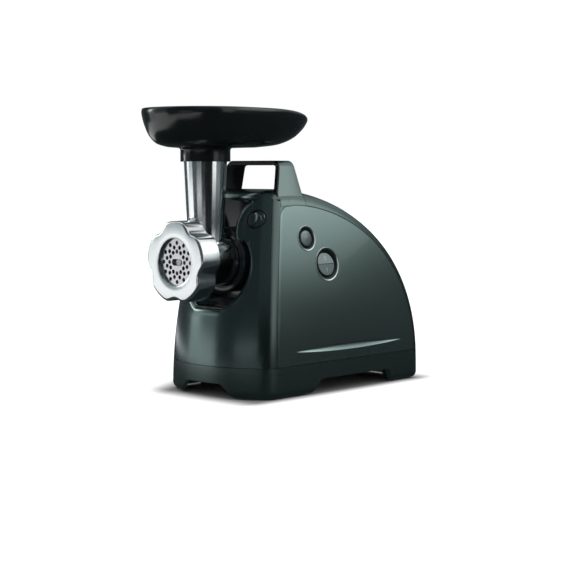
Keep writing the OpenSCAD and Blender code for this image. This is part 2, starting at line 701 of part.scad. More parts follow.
module reverse_button() color(BLACK) on_side(reverse_at) {
    rotate([0, 90, 0]) rotate_extrude()
        polygon([[0, -6], [reverse_r, -6], [reverse_r, -1.4], [reverse_r - 1, -0.3], [0, 0.4]]);
    rod_x(-reverse_stem_l, -5.9, 2.5);
}
module reverse_spring() color(STEEL) on_side(reverse_at) coil(-reverse_stem_l, -6, 5, 3);
module reverse_switch() color(BLACK) on_side(reverse_at) difference() {
    translate([-reverse_stem_l - 13, -10, -8]) cube([13, 20, 16]);
    rod_x(-reverse_stem_l - reverse_travel - 1, 0, 3);
}

// A coil spring drawn as flat turns about X, between x0 and x1
wire_r = 0.5;
module coil(x0, x1, r, turns)
    for (i = [0:turns - 1])
        translate([mix(x0 + wire_r, x1 - wire_r, i / (turns - 1)), 0, 0]) rotate([0, 90, 0])
            rotate_extrude($fn = 48) translate([r, 0]) circle(r = wire_r, $fn = 16);

lock_at = [lock_x, lock_z];
lock_stem_r = 3;
// The lock's cup and cap follow the front's surface
module lock_bezel() color(BLACK) difference() {
    intersection() {
        rod(lock_at, lock_y - 12, lock_floor_y, lock_well_r);
        front_solid(-0.5);
    }
    rod(lock_at, lock_y - 13, lock_floor_y - lock_floor_t, lock_well_r - 1.6);
    rod(lock_at, lock_y, lock_floor_y + 1, lock_stem_r + FIT);
}
module lock_button() color(BLACK) {
    difference() {
        intersection() {
            rod(lock_at, lock_y - 12, lock_y + lock_cap_l, lock_well_r - 2);
            union() {
                front_solid(0.3);
                intersection() {
                    front_solid(-lock_proud);
                    block([lock_x - lock_well_r, lock_y - 12, lock_z - lock_well_r],
                          [lock_x + 0.5, lock_y + 12, lock_z + lock_well_r]);
                }
            }
        }
        rod(lock_at, lock_spring_y, lock_y + lock_cap_l + 1, lock_stem_r + 3.2);
    }
    rod(lock_at, lock_spring_y - 1, latch_y, lock_stem_r);
}
module lock_latch() color(STEEL) {
    rod(lock_at, latch_y, latch_y + latch_t, latch_arm_r);
    rod(latch_pin_at, latch_y, latch_y + latch_t, latch_arm_r);
    translate([lock_x, 0, lock_z])
        rotate([0, -atan2(latch_pin_at[1] - lock_z, latch_pin_at[0] - lock_x), 0])
            block([0, latch_y, -latch_arm_w / 2],
                  [norm(latch_pin_at - lock_at), latch_y + latch_t, latch_arm_w / 2]);
    rod(latch_pin_at, recess_back_y - 1.5, latch_y + 0.5, latch_pin_r);
}
latch_arm_r = 5;
latch_arm_w = 8;
module lock_spring() color(STEEL) translate([lock_x, 0, lock_z]) rotate([0, 0, 90])
    coil(lock_spring_y, lock_floor_y - lock_floor_t, lock_stem_r + 2, 3);

// ---- Gear train ----

tip_share = 0.8;                  // stub teeth, in modules
root_share = 1.1;
backlash = 0.12;                  // in modules, along the pitch circle
function involute(a) = tan(a) * 180 / PI - a;
function half_tooth(r, n, m) =
    let (pitch = m * n / 2, base = pitch * cos(pressure_angle))
    90 / n - backlash * m / 4 / pitch * 180 / PI + involute(pressure_angle)
        - involute(acos(min(1, base / max(r, base))));
function gear_outline(n, m, phase) =
    let (pitch = m * n / 2, root = pitch - root_share * m, tip = pitch + tip_share * m,
         low = max(root + 0.05 * m, pitch * cos(pressure_angle)),
         radii = concat([root], [for (i = [0:4]) mix(low, tip, i / 4)]))
    [for (k = [0:n - 1], s = [-1, 1], i = [0:5])
        let (r = radii[s < 0 ? i : 5 - i], a = phase + k * 360 / n + s * half_tooth(r, n, m))
        r * [cos(a), sin(a)]];
module gear(at, y0, y1, n, m, phase)
    slab(y0, y1) translate(at) polygon(gear_outline(n, m, phase));
function wheel_phase(to_pinion) = to_pinion + 180 / wheel_teeth;

module output_wheel() color(NYLON) difference() {
    gear(output_at, stage_front[0], stage_front[0] + wheel_widths[2], wheel_teeth, modules[2],
         wheel_phase(axle_angles[0]));
    rod(output_at, stage_front[0] - 1, stage_front[1], output_shaft_r);
    for (k = [0:5]) rod(output_at + step_to(k * 60 + 10, 18), stage_front[0] - 1, stage_front[1], 4.5);
}
module layshaft_wheel(at, front, width, m, to_pinion, pinion_m, pinion_phase) color(NYLON) difference() {
    union() {
        gear(at, front, front + width, wheel_teeth, m, wheel_phase(to_pinion));
        gear(at, front - width * 1.1 - gear_gap, front + 1, pinion_teeth, pinion_m, pinion_phase);
    }
    rod(at, front - 40, front + width + 1, layshaft_pin_r + running);
}
module second_wheel()
    layshaft_wheel(second_at, stage_front[1], wheel_widths[1], modules[1], axle_angles[1],
                   modules[2], axle_angles[0] + 180);
module first_wheel()
    layshaft_wheel(first_at, stage_front[2], wheel_widths[0], modules[0], axle_angles[2],
                   modules[1], axle_angles[1] + 180);
module layshaft_pin(at) color(STEEL) rod(at, gear_wall_y, gear_rear_y + gearbox_wall, layshaft_pin_r);

function gear_reach(m, n) = m * (n / 2 + tip_share);
gear_places = [[output_at, gear_reach(modules[2], wheel_teeth)],
               [second_at, gear_reach(modules[1], wheel_teeth)],
               [first_at, gear_reach(modules[0], wheel_teeth)],
               [armature_at, gear_reach(modules[0], pinion_teeth) + 5]];
module gear_room(y0, y1, margin) for (place = gear_places) rod(place[0], y0, y1, place[1] + margin);
module gearbox_housing() color(BLACK) difference() {
    gear_room(gear_wall_y, gear_rear_y, gearbox_wall + 1.5);
    gear_room(gear_wall_y + gearbox_wall, gear_rear_y + 1, 1.5);
    rod(output_at, gear_wall_y - 1, gear_rear_y, output_shaft_r + bush_wall);
    for (at = [first_at, second_at]) rod(at, gear_wall_y - 1, gear_rear_y, layshaft_pin_r);
}
bush_wall = 3;
module gearbox_cover() color(BLACK) difference() {
    gear_room(gear_rear_y, gear_rear_y + gearbox_wall, gearbox_wall + 1.5);
    for (at = [first_at, second_at]) rod(at, gear_rear_y - 1, gear_rear_y + 10, layshaft_pin_r);
    rod(output_at, gear_rear_y - 1, gear_rear_y + 10, output_shaft_r - 2 + running);
    rod(armature_at, gear_rear_y - 1, gear_rear_y + 10, gear_reach(modules[0], pinion_teeth) + 1);
}
module output_bush() color([0.75, 0.6, 0.35])
    tube(output_at, gear_wall_y, gear_wall_y + gearbox_wall,
         output_shaft_r + bush_wall, output_shaft_r + running);
module drive_shaft() color(STEEL) difference() {
    union() {
        rod(output_at, gear_wall_y - 1, stage_front[1], output_shaft_r);
        rod(output_at, stage_front[1], gear_rear_y + gearbox_wall, output_shaft_r - 2);
        rod(output_at, drive_front_y, gear_wall_y - 0.5, drive_socket_r);
    }
    block([-(auger_square / 2 + SNUG), drive_front_y - 1, auger_z - auger_square / 2 - SNUG],
          [auger_square / 2 + SNUG, drive_front_y + 4, auger_z + auger_square / 2 + SNUG]);
}

// ---- Motor ----

module motor_core() color(STEEL) difference() {
    block([-core_side / 2, core_y, armature_at[1] - core_side / 2],
          [core_side / 2, core_y + core_l, armature_at[1] + core_side / 2]);
    rod(armature_at, core_y - 1, core_y + core_l + 1, armature_r + 0.6);
    for (side = [-1, 1])
        block([side * coil_x - 5.5, core_y - 1, armature_at[1] - 17],
              [side * coil_x + 5.5, core_y + core_l + 1, armature_at[1] + 17]);
    for (x = [-1, 1], z = [-1, 1])
        rod(armature_at + [x, z] * (core_side / 2 - 6), core_y - 1, core_y + core_l + 1, 2.2);
}
// A field coil: two bars through the core's windows, joined by flat bridges over its ends
module field_coil(up) color(COPPER) {
    z0 = armature_at[1] + up * 1;
    for (side = [-1, 1])
        block([side * coil_x - 3.5, core_y - coil_reach, min(z0, z0 + up * 14)],
              [side * coil_x + 3.5, core_y + core_l + coil_reach, max(z0, z0 + up * 14)]);
    for (y = [core_y - coil_reach, core_y + core_l + coil_reach - 7])
        intersection() {
            tube(armature_at, y, y + 7, 31.5, 24.5);
            block([-31.5, y, min(z0, z0 + up * 32)], [31.5, y + 7, max(z0, z0 + up * 32)]);
        }
}
module bearing(y) color(STEEL) difference() {
    rod(armature_at, y, y + bearing_l, bearing_r);
    rod(armature_at, y - 1, y + bearing_l + 1, motor_shaft_r + running);
}
front_bearing_y = core_y - coil_reach - 10;
rear_bearing_y = commutator_y + commutator_l + 6;
// A bracket: a bar across the motor that holds a bearing, with two arms to the core's face
module bracket(bearing_y, arm_y) color(BLACK) {
    plate_y = bearing_y + (arm_y > bearing_y ? 0 : bearing_l - 4);
    difference() {
        union() {
            rod(armature_at, bearing_y, bearing_y + bearing_l, bearing_r + 3);
            block([-core_side / 2, plate_y, armature_at[1] - 8],
                  [core_side / 2, plate_y + 4, armature_at[1] + 8]);
        }
        rod(armature_at, bearing_y - 1, bearing_y + bearing_l + 1, bearing_r);
    }
    for (side = [-1, 1])
        block([side * (core_side / 2 - 2) - 2, min(plate_y, arm_y), armature_at[1] - 8],
              [side * (core_side / 2 - 2) + 2, max(plate_y + 4, arm_y), armature_at[1] + 8]);
}
module front_bracket() bracket(front_bearing_y, core_y);
module rear_bracket() bracket(rear_bearing_y, core_y + core_l);

module armature_shaft() color(STEEL) {
    rod(armature_at, gear_rear_y, shaft_rear_y, motor_shaft_r);
    gear(armature_at, stage_front[2], gear_rear_y + EPS, pinion_teeth, modules[0], axle_angles[2] + 180);
}
module armature_core() color(COPPER) difference() {
    union() {
        rod(armature_at, core_y, core_y + core_l, armature_r);
        rod(armature_at, core_y - 9, core_y + core_l + 9, armature_r - 4);
    }
    rod(armature_at, core_y - 10, core_y + core_l + 10, motor_shaft_r);
    for (k = [0:11])
        translate([0, core_y - 1, armature_at[1]]) rotate([0, k * 30, 0])
            translate([-1.2, 0, armature_r - 2.5]) cube([2.4, core_l + 2, 5]);
}
module commutator() color(COPPER) difference() {
    rod(armature_at, commutator_y, commutator_y + commutator_l, commutator_r);
    rod(armature_at, commutator_y - 1, commutator_y + commutator_l + 1, motor_shaft_r);
    for (k = [0:11])
        translate([0, commutator_y - 1, armature_at[1]]) rotate([0, k * 30, 0])
            translate([-0.3, 0, commutator_r - 1]) cube([0.6, commutator_l + 2, 3]);
}
module cooling_fan() color(NYLON) {
    tube(armature_at, fan_y, fan_y + fan_l, 9, motor_shaft_r);
    tube(armature_at, fan_y + fan_l - 1.5, fan_y + fan_l, 29, 8.9);
    for (k = [0:8])
        translate([0, fan_y, armature_at[1]]) rotate([0, k * 40, 0]) translate([8.5, 0, 0]) rotate([0, 12, 0])
            cube([20, fan_l - 1, 1.5]);
}
module brush_holder(side) color([0.75, 0.6, 0.35]) {
    x0 = commutator_r + 0.3;
    y = commutator_y + commutator_l / 2;
    block([min(side * x0, side * (x0 + 20)), y - 4, armature_at[1] - 4],
          [max(side * x0, side * (x0 + 20)), y + 4, armature_at[1] + 4]);
    block([min(side * (x0 + 6), side * (core_side / 2 - 4)), y - 6, armature_at[1] - 6],
          [max(side * (x0 + 6), side * (core_side / 2 - 4)), y + 6, armature_at[1] + 6]);
}
board_w = 58;
board_l = 24;
board_t = 1.6;
board_post_h = 4;
board_at = [cord_x - 18, rear_y - 18 - board_l];
module filter_board() color([0.2, 0.35, 0.2])
    translate([board_at[0], board_at[1], bottom_plate_z + bottom_plate_t]) {
        for (x = [6, board_w - 6])
            translate([x, board_l / 2, 0]) cylinder(h = board_post_h + board_t / 2, r = 3);
        translate([0, 0, board_post_h]) cube([board_w, board_l, board_t]);
        translate([board_w / 2 - 3, 3, board_post_h + board_t / 2]) cube([26, 16, 16]);
        translate([12, board_l / 2, board_post_h + board_t / 2]) cylinder(h = 15, r = 8);
    }
module cord_gland() color(BLACK) difference() {
    union() {
        rod(cord_at, rear_y - 12, rear_y + 1, gland_r - SNUG);
        block([cord_at[0] - gland_r - 4, rear_y - 8, cord_at[1] - gland_r + SNUG],
              [cord_at[0] + gland_r + 4, rear_y - base_wall - SNUG, cord_at[1] + gland_r - SNUG]);
    }
    rod(cord_at, rear_y - 20, rear_y + 10, cord_r);
}

// ---- Grinding head ----

module grinding_head() color(ALU) difference() {
    union() {
        rod(output_at, barrel_front_y, thread_rear_y, thread_r);
        rod(output_at, thread_rear_y - 1, barrel_rear_y, barrel_r);
        for (k = [0:2]) lug_block(k * 120, lug_y, lug_y + lug_l, lug_r, 0);
        translate([0, tube_y, auger_z]) cylinder(h = 30, r = tube_foot_r);
        translate([0, tube_y, auger_z + 30])
            cylinder(h = tube_top_z - auger_z - 30, r1 = tube_foot_r, r2 = tube_top_r);
    }
    rod(output_at, barrel_front_y - 1, barrel_rear_y - head_wall, barrel_bore_r);
    rod(output_at, barrel_front_y - 1, plate_rear_y, plate_r + SNUG);
    tube(output_at, barrel_front_y - 1, nut_rear_y + 0.2, nut_r + 1, thread_r);
    rod(output_at, barrel_rear_y - 10, barrel_rear_y + 1, auger_square + 0.3);
    translate([0, tube_y, auger_z]) cylinder(h = tube_top_z - auger_z, r = tube_foot_r - 2.3);
    translate([0, tube_y, tube_top_z - tube_bore_l]) cylinder(h = tube_bore_l + 1, r = tube_bore_r);
    translate([0, tube_y, tube_top_z - tube_bore_l - 50 + EPS])
        cylinder(h = 50, r1 = tube_foot_r - 2.3, r2 = tube_bore_r);
}

auger_core_r = 9;
auger_flight_r = barrel_bore_r - 0.6;
auger_pitch = 27;
function auger_ring(a) =
    let (y = mix(auger_front_y + 3.5, auger_rear_y - 3.5, a / auger_turn), d = [cos(a), sin(a)])
    [for (c = [[auger_core_r - 2, 2.6], [auger_core_r - 2, -2.6],
               [auger_flight_r, -1.4], [auger_flight_r, 1.4]])
        [c[0] * d[0], y + c[1], auger_z + c[0] * d[1]]];
auger_turn = (auger_rear_y - auger_front_y - 7) / auger_pitch * 360;
module auger() color(ALU) {
    stack([for (i = [0:60]) auger_ring(i / 60 * auger_turn)]);
    rod(output_at, auger_front_y, auger_rear_y, auger_core_r);
    rod(output_at, auger_rear_y - EPS, drive_front_y - FIT, auger_square - 0.2);
    block([-auger_square / 2, auger_rear_y, auger_z - auger_square / 2],
          [auger_square / 2, drive_front_y + 3.5, auger_z + auger_square / 2]);
    block([-5, plate_rear_y + SNUG, auger_z - 5], [5, auger_front_y + 1, auger_z + 5]);
    rod(output_at, plate_front_y + 2.5, auger_front_y, auger_stud_r);
}
module knife() color(STEEL) difference() {
    union() {
        rod(output_at, plate_rear_y + SNUG, knife_rear_y, 10.5);
        for (k = [0:3])
            translate([0, 0, auger_z]) rotate([0, k * 90, 0]) translate([0, 0, -auger_z])
                slab(plate_rear_y + SNUG, knife_rear_y - 1)
                    polygon([[6, auger_z - 5], [24.5, auger_z - 3], [25, auger_z + 2], [8, auger_z + 5]]);
    }
    block([-5.1, plate_rear_y - 1, auger_z - 5.1], [5.1, knife_rear_y + 1, auger_z + 5.1]);
}
module perforated_plate() color(STEEL) difference() {
    rod(output_at, plate_front_y, plate_rear_y, plate_r);
    for (ring = [0:2], k = [0:plate_ring_count - 1])
        rod(output_at + step_to((k + ring / 2) * 360 / plate_ring_count, plate_rings[ring]),
            plate_front_y - 1, plate_rear_y + 1, plate_hole_r);
    rod(output_at, plate_front_y + 1.5, plate_rear_y + 1, auger_stud_r + running);
    for (side = [-1, 1])
        rod(output_at + [side * (plate_slot_l - plate_slot_w) / 2, 0], plate_front_y - 1, plate_front_y + 2.2,
            plate_slot_w / 2);
    block([-(plate_slot_l - plate_slot_w) / 2, plate_front_y - 1, auger_z - plate_slot_w / 2],
          [(plate_slot_l - plate_slot_w) / 2, plate_front_y + 2.2, auger_z + plate_slot_w / 2]);
}

// The nut's outline: lobes along its full radius with shallow hollows between them
nut_lobe_share = 0.42;
function nut_radius(a) =
    let (u = abs(((a * nut_lobes / 360 + 0.5) % 1) - 0.5) * 2,
         hollow = u < nut_lobe_share ? 0 : (1 - cos((u - nut_lobe_share) / (1 - nut_lobe_share) * 180)) / 2)
    nut_r - nut_hollow * hollow;
module ring_nut() color(ALU) difference() {
    slab(nut_front_y, nut_rear_y) translate(output_at)
        polygon([for (i = [0:119]) nut_radius(i * 3) * [cos(i * 3 + 90), sin(i * 3 + 90)]]);
    rod(output_at, nut_front_y - 1, nut_rear_y, outlet_r);
    rod(output_at, nut_front_y + nut_lip, nut_rear_y + 1, thread_r + 0.4);
}

// ---- Feed tray ----

tray_foot_z = tube_top_z + 3;
tray_rim_z = tube_top_z + tray_h;
tray_rear_drop = 10.5;            // how much lower the rear tip lies
tray_rear_slant = 0.45;           // how much flatter the wall slants at the rear tip
// Outline of the tray: round in front, drawn out to a narrower tip behind; k shrinks it towards the tube
function tray_at(a, k, z) =
    let (c = cos(a), s = sin(a), l = s > 0 ? tray_rear : tray_front, e = s > 0 ? 0.82 : 0.92,
         w = tray_half_w * (s > 0 ? 1 - 0.1 * s * s : 1),
         reach = s > 0 ? k - (1 - k) * tray_rear_slant * s * s : k)
    [sign(c) * pow(abs(c), e) * w * reach, tube_y + sign(s) * pow(abs(s), e) * l * reach,
     z - (s > 0 ? tray_rear_drop * pow(s, 3) * (z - tray_foot_z) / tray_h : 0)];
function tray_ring(k, z) = [for (i = [0:47]) tray_at(i * 7.5, k, z)];
tray_profile = [[0.36, 0], [0.6, 0.03], [0.77, 0.12], [0.885, 0.32], [0.955, 0.58],
                [0.99, 0.79], [1, 0.9], [0.995, 0.96], [0.983, 0.99], [0.972, 1]];
tray_mouth = 0.954;               // share of the outline that stays open at the rim
tray_inner_share = tray_wall / tray_half_w;
module feed_tray() color(BLACK) difference() {
    union() {
        difference() {
            stack([for (p = tray_profile) tray_ring(p[0], mix(tray_foot_z - 1, tray_rim_z, p[1]))]);
            stack(concat(
                [for (i = [1:6]) let (p = tray_profile[i])
                    tray_ring(p[0] - tray_inner_share, mix(tray_foot_z - 1, tray_rim_z, p[1]) + tray_wall)],
                [tray_ring(tray_mouth, tray_rim_z - 1), tray_ring(tray_mouth, tray_rim_z + 5)]));
        }
        translate([0, tube_y, tube_top_z - sleeve_l]) cylinder(h = sleeve_l + 4, r = sleeve_r);
    }
    translate([0, tube_y, tube_top_z - sleeve_l - 1]) cylinder(h = sleeve_l + 1 + SNUG, r = tube_top_r + FIT);
    translate([0, tube_y, tube_top_z - 1]) cylinder(h = 20, r = tube_bore_r + 0.5);
}

// ---- Assembly ----

base();
bottom_plate();
for (i = [0:3]) foot(feet[i]);
front_cover();
column(-1);  // left_column
column(1);  // right_column
crown_cap();
spine_cover();
left_side_panel();
right_side_panel();
handle();
handle_lining();
head_recess();
power_bezel();
reverse_bezel();
lock_bezel();
power_switch();
reverse_switch();
filter_board();
gearbox_housing();
gearbox_cover();
output_bush();
layshaft_pin(first_at);  // layshaft_pin_1
layshaft_pin(second_at);  // layshaft_pin_2
motor_core();
field_coil(1);  // upper_coil
field_coil(-1);  // lower_coil
front_bracket();
rear_bracket();
bearing(front_bearing_y);  // front_bearing
bearing(rear_bearing_y);  // rear_bearing
brush_holder(-1);  // left_brush_holder
brush_holder(1);  // right_brush_holder
cord_gland();
armature_shaft();
armature_core();
commutator();
cooling_fan();
first_wheel();
second_wheel();
output_wheel();
drive_shaft();
auger();
knife();
grinding_head();
perforated_plate();
ring_nut();
feed_tray();
lock_button();
lock_latch();
lock_spring();
reverse_button();
reverse_spring();
power_rocker();
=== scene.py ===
import math
from contextlib import contextmanager

import bmesh
import bpy
from mathutils import Matrix, Vector


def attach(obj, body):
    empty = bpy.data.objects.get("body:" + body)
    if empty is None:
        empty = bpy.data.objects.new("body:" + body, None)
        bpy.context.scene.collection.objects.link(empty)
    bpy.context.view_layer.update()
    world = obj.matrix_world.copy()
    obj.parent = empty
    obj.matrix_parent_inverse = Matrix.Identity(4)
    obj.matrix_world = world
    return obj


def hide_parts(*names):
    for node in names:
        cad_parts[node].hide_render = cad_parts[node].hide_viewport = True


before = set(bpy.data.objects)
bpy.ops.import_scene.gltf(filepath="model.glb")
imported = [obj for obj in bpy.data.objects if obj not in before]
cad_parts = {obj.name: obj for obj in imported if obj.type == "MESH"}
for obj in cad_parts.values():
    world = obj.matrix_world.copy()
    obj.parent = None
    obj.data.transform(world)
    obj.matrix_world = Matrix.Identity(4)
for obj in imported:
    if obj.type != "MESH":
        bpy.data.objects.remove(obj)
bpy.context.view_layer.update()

# ---- Driving sizes, in mm and degrees ----

MM = 0.001
BODY_HALF_W, SIDE_LEAN = 85.7, 28.0
CROWN_Y, CROWN_Z = -75.0, 243.0
CROWN_RISE, CROWN_DROP = 0.08, 0.0064
FRONT_LEAN, CORNER_Y, CORNER_R, BOW_R = 36.0, -119.7, 28.0, 132.0
COVER_EDGE, PANEL_WRAP = 58.0, 80.5
REAR_Y, REAR_R, SHOULDER_R = 138.3, 10.0, 19.5
CROWN_SHARE = 0.09
WALL, SEAM = 2.8, 0.6
BASE_H, BASE_ROUND, SKIRT_LIFT = 36.8, 9.0, 1.5
BODY_FOOT = BASE_H + SEAM
SPINE = [(CROWN_Y, CROWN_Z), (CROWN_Y + 101, CROWN_Z - 8),
         (REAR_Y - 1.2, BASE_H + 142), (REAR_Y, BODY_FOOT)]
AUGER_Z = 159.8
AUGER_AXIS = (0, 0, AUGER_Z)


# ---- Small maths ----

def mix(a, b, t):
    return a + (b - a) * t


def clamp(v, low=0.0, high=1.0):
    return max(low, min(high, v))


def ease(t):
    t = clamp(t)
    return t * t * (3 - 2 * t)


def sind(a):
    return math.sin(math.radians(a))


def cosd(a):
    return math.cos(math.radians(a))


def steps(a, b, n):
    return [mix(a, b, i / n) for i in range(n + 1)]


def turns(n):
    """n directions at even steps round a circle."""
    return steps(0, 360, n)[:-1]


def arc(cx, cy, r, a0, a1, n):
    return [(cx + r * cosd(a), cy + r * sind(a)) for a in steps(a0, a1, n)]


def circle(cu, cv, r, n=48, start=0):
    return [(cu + r * cosd(a + start), cv + r * sind(a + start)) for a in turns(n)]


def bezier(p, t):
    s = 1 - t
    return tuple(s ** 3 * a + 3 * s * s * t * b + 3 * s * t * t * c + t ** 3 * d
                 for a, b, c, d in zip(*p))


def bezier_normal(p, t):
    s = 1 - t
    u, v = (s * s * (b - a) + 2 * s * t * (c - b) + t * t * (d - c) for a, b, c, d in zip(*p))
    length = math.hypot(u, v)
    return -v / length, u / length


def resample(points, n):
    """n + 1 points at even steps along an open line."""
    at = [0.0]
    for a, b in zip(points, points[1:]):
        at.append(at[-1] + math.dist(a, b))
    out, i = [], 0
    for s in steps(0, at[-1], n):
        while i < len(at) - 2 and at[i + 1] < s:
            i += 1
        t = (s - at[i]) / max(at[i + 1] - at[i], 1e-9)
        out.append(tuple(mix(a, b, t) for a, b in zip(points[i], points[i + 1])))
    return out


def soften(points, rounds):
    """Rounds the corners of a closed line by averaging each point with its neighbours."""
    for _ in range(rounds):
        points = [tuple((a + 2 * b + c) / 4
                        for a, b, c in zip(points[i - 1], p, points[(i + 1) % len(points)]))
                  for i, p in enumerate(points)]
    return points


def outward(loop):
    """Unit normals of a closed anticlockwise loop."""
    out = []
    for i in range(len(loop)):
        (x0, y0), (x1, y1) = loop[i - 1], loop[(i + 1) % len(loop)]
        length = math.hypot(x1 - x0, y1 - y0) or 1.0
        out.append(((y1 - y0) / length, -(x1 - x0) / length))
    return out


def inset_loop(loop, d):
    return [(x - nx * d, z - nz * d) for (x, z), (nx, nz) in zip(loop, outward(loop))]


# ---- Mesh helpers ----

def link(name, mesh):
    obj = bpy.data.objects.new(name, mesh)
    bpy.context.scene.collection.objects.link(obj)
    return obj


@contextmanager
def editing(mesh):
    """A mesh as a bmesh, written back at the end."""
    bm = bmesh.new()
    bm.from_mesh(mesh)
    yield bm
    bm.to_mesh(mesh)
    bm.free()


def solid(name, verts, faces):
    """An object from corners in mm."""
    mesh = bpy.data.meshes.new(name)
    mesh.from_pydata([(x * MM, y * MM, z * MM) for x, y, z in verts], [], faces)
    with editing(mesh) as bm:
        bmesh.ops.remove_doubles(bm, verts=bm.verts, dist=1e-6)
        bmesh.ops.recalc_face_normals(bm, faces=bm.faces)
    return link(name, mesh)


def block(name, corners):
    """A solid from the eight corners of a box, with the last coordinate's two values side by side."""
    return solid(name, corners, [(0, 1, 3, 2), (4, 6, 7, 5), (0, 4, 5, 1), (2, 3, 7, 6), (0, 2, 6, 4),
                                 (1, 5, 7, 3)])


def grid_faces(rows, cols, start=0, wrap=False, flip=False):
    out = []
    for i in range(rows - 1):
        for j in range(cols if wrap else cols - 1):
            k = (j + 1) % cols
            a, b = start + i * cols, start + (i + 1) * cols
            quad = (a + j, a + k, b + k, b + j)
            out.append(quad[::-1] if flip else quad)
    return out


def sheet(name, rows):
    return solid(name, [p for row in rows for p in row], grid_faces(len(rows), len(rows[0])))


def shell(name, outer, inner, wrap=False):
    """A closed shell between an outer and an inner grid of points."""
    rows, cols = len(outer), len(outer[0])
    verts = [p for grid in (outer, inner) for row in grid for p in row]
    base = rows * cols
    faces = grid_faces(rows, cols, 0, wrap) + grid_faces(rows, cols, base, wrap, True)
    for i in (0, rows - 1):
        for j in range(cols if wrap else cols - 1):
            k = (j + 1) % cols
            faces.append((i * cols + j, base + i * cols + j, base + i * cols + k, i * cols + k))
    if not wrap:
        for j in (0, cols - 1):
            for i in range(rows - 1):
                a, b = i * cols + j, (i + 1) * cols + j
                faces.append((a, b, base + b, base + a))
    return solid(name, verts, faces)


def loft(name, rings, caps=True, closed=False):
    """A surface through rings of as many points each; closed joins the last ring to the first."""
    n = len(rings[0])
    verts = [p for ring in rings for p in ring]
    faces = grid_faces(len(rings), n, 0, True)
    if closed:
        last = (len(rings) - 1) * n
        faces += [(last + j, last + (j + 1) % n, (j + 1) % n, j) for j in range(n)]
    elif caps:
        faces += [tuple(range(n))[::-1], tuple(range((len(rings) - 1) * n, len(rings) * n))]
    return solid(name, verts, faces)


def lathe(name, profile, segments=96, closed=False):
    """Turns (radius, height) points about Z; closed joins the profile's two ends."""
    rings = [[(*p, h) for p in circle(0, 0, r, segments)] for r, h in profile]
    return loft(name, rings, caps=False, closed=closed)


def place(obj, matrix):
    obj.data.transform(matrix)
    return obj


def lathe_y(name, profile, at, segments=96, closed=False):
    """Turns (radius, y) points about a line along Y through a place in mm."""
    to_y = Matrix.Translation(Vector(at) * MM) @ Matrix.Rotation(math.radians(-90), 4, "X")
    return place(lathe(name, profile, segments, closed), to_y)


def bake(obj):
    """Applies an object's modifiers."""
    graph = bpy.context.evaluated_depsgraph_get()
    mesh = bpy.data.meshes.new_from_object(obj.evaluated_get(graph), preserve_all_data_layers=True,
                                           depsgraph=graph)
    obj.modifiers.clear()
    obj.data = mesh
    return obj


def sharpen(obj, angle):
    """Shades a piece smooth, apart from edges over an angle."""
    obj.data.shade_smooth()
    obj.data.set_sharp_from_angle(angle=math.radians(angle))


def finish_edges(obj, width, angle=38, segments=3):
    """Rounds an object's sharp edges by width mm and shades it smooth."""
    obj.data.shade_smooth()
    bevel = obj.modifiers.new("edges", "BEVEL")
    bevel.width = width * MM
    bevel.segments = segments
    bevel.limit_method = "ANGLE"
    bevel.angle_limit = math.radians(angle)
    bevel.miter_outer = "MITER_ARC"
    normals = obj.modifiers.new("normals", "WEIGHTED_NORMAL")
    normals.keep_sharp = True
    normals.weight = 80
    return bake(obj)


def join(name, parts):
    bm = bmesh.new()
    for part in parts:
        bm.from_mesh(part.data)
        bpy.data.objects.remove(part)
    mesh = bpy.data.meshes.new(name)
    bm.to_mesh(mesh)
    bm.free()
    mesh.shade_smooth()
    return link(name, mesh)


def cut(obj, tool, operation="DIFFERENCE"):
    boolean = obj.modifiers.new("cut", "BOOLEAN")
    boolean.object = tool
    boolean.operation = operation
    boolean.solver = "EXACT"
    bake(obj)
    bpy.data.objects.remove(tool)


def dress(obj, body, material, slot, *nodes):
    """Gives a piece its material and its body, and hides the CAD nodes that it stands for. The slot is not
    used.
    """
    obj.data.materials.clear()
    obj.data.materials.append(material)
    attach(obj, body)
    if nodes:
        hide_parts(*nodes)


# ---- The body's surface ----

def half_w(z):
    return BODY_HALF_W - SIDE_LEAN * (z / CROWN_Z) ** 2


def corner_x(z):
    return half_w(z) - CORNER_R


def corner_y(z):
    return CORNER_Y + FRONT_LEAN * (z / CROWN_Z) ** 2


def bow_y(z):
    return corner_y(z) + math.sqrt((BOW_R - CORNER_R) ** 2 - corner_x(z) ** 2)


def bow_angle(z):
    return math.degrees(math.asin(corner_x(z) / (BOW_R - CORNER_R)))


def front_at(z, a, inset=0.0):
    """A point of the front's outline at a height; a is the turn of its surface from straight ahead."""
    turn = abs(a)
    if turn < bow_angle(z):
        cx, cy, r = 0.0, bow_y(z), BOW_R - inset
    else:
        cx, cy, r = corner_x(z), corner_y(z), CORNER_R - inset
    x = cx + r * sind(turn)
    return math.copysign(x, a), cy - r * cosd(turn), z


def front_y(x, z, inset=0.0):
    if abs(x) < (BOW_R - inset) * sind(bow_angle(z)):
        return bow_y(z) - math.sqrt((BOW_R - inset) ** 2 - x * x)
    reach = CORNER_R - inset
    return corner_y(z) - math.sqrt(max(0.0, reach ** 2 - (abs(x) - corner_x(z)) ** 2))


def side_point(side, inset):
    """Gives the points of one side's outline from (s, z); s is the way back from the front corner's end."""
    def at(s, z):
        if s < 0:
            x, y, _z = front_at(z, 90 + math.degrees(s / CORNER_R), inset)
        else:
            x, y = half_w(z) - inset, corner_y(z) + s
        return side * x, y, z
    return at


def spine_t(y):
    low, high = 0.0, 1.0
    for _ in range(24):
        t = (low + high) / 2
        low, high = (t, high) if bezier(SPINE, t)[0] < y else (low, t)
    return low


def spine_edge_r(t):
    return SHOULDER_R - (SHOULDER_R - REAR_R) * math.sqrt(t)


def spine_seam(t, depth):
    p, n = bezier(SPINE, t), bezier_normal(SPINE, t)
    return p[0] - n[0] * depth, p[1] - n[1] * depth


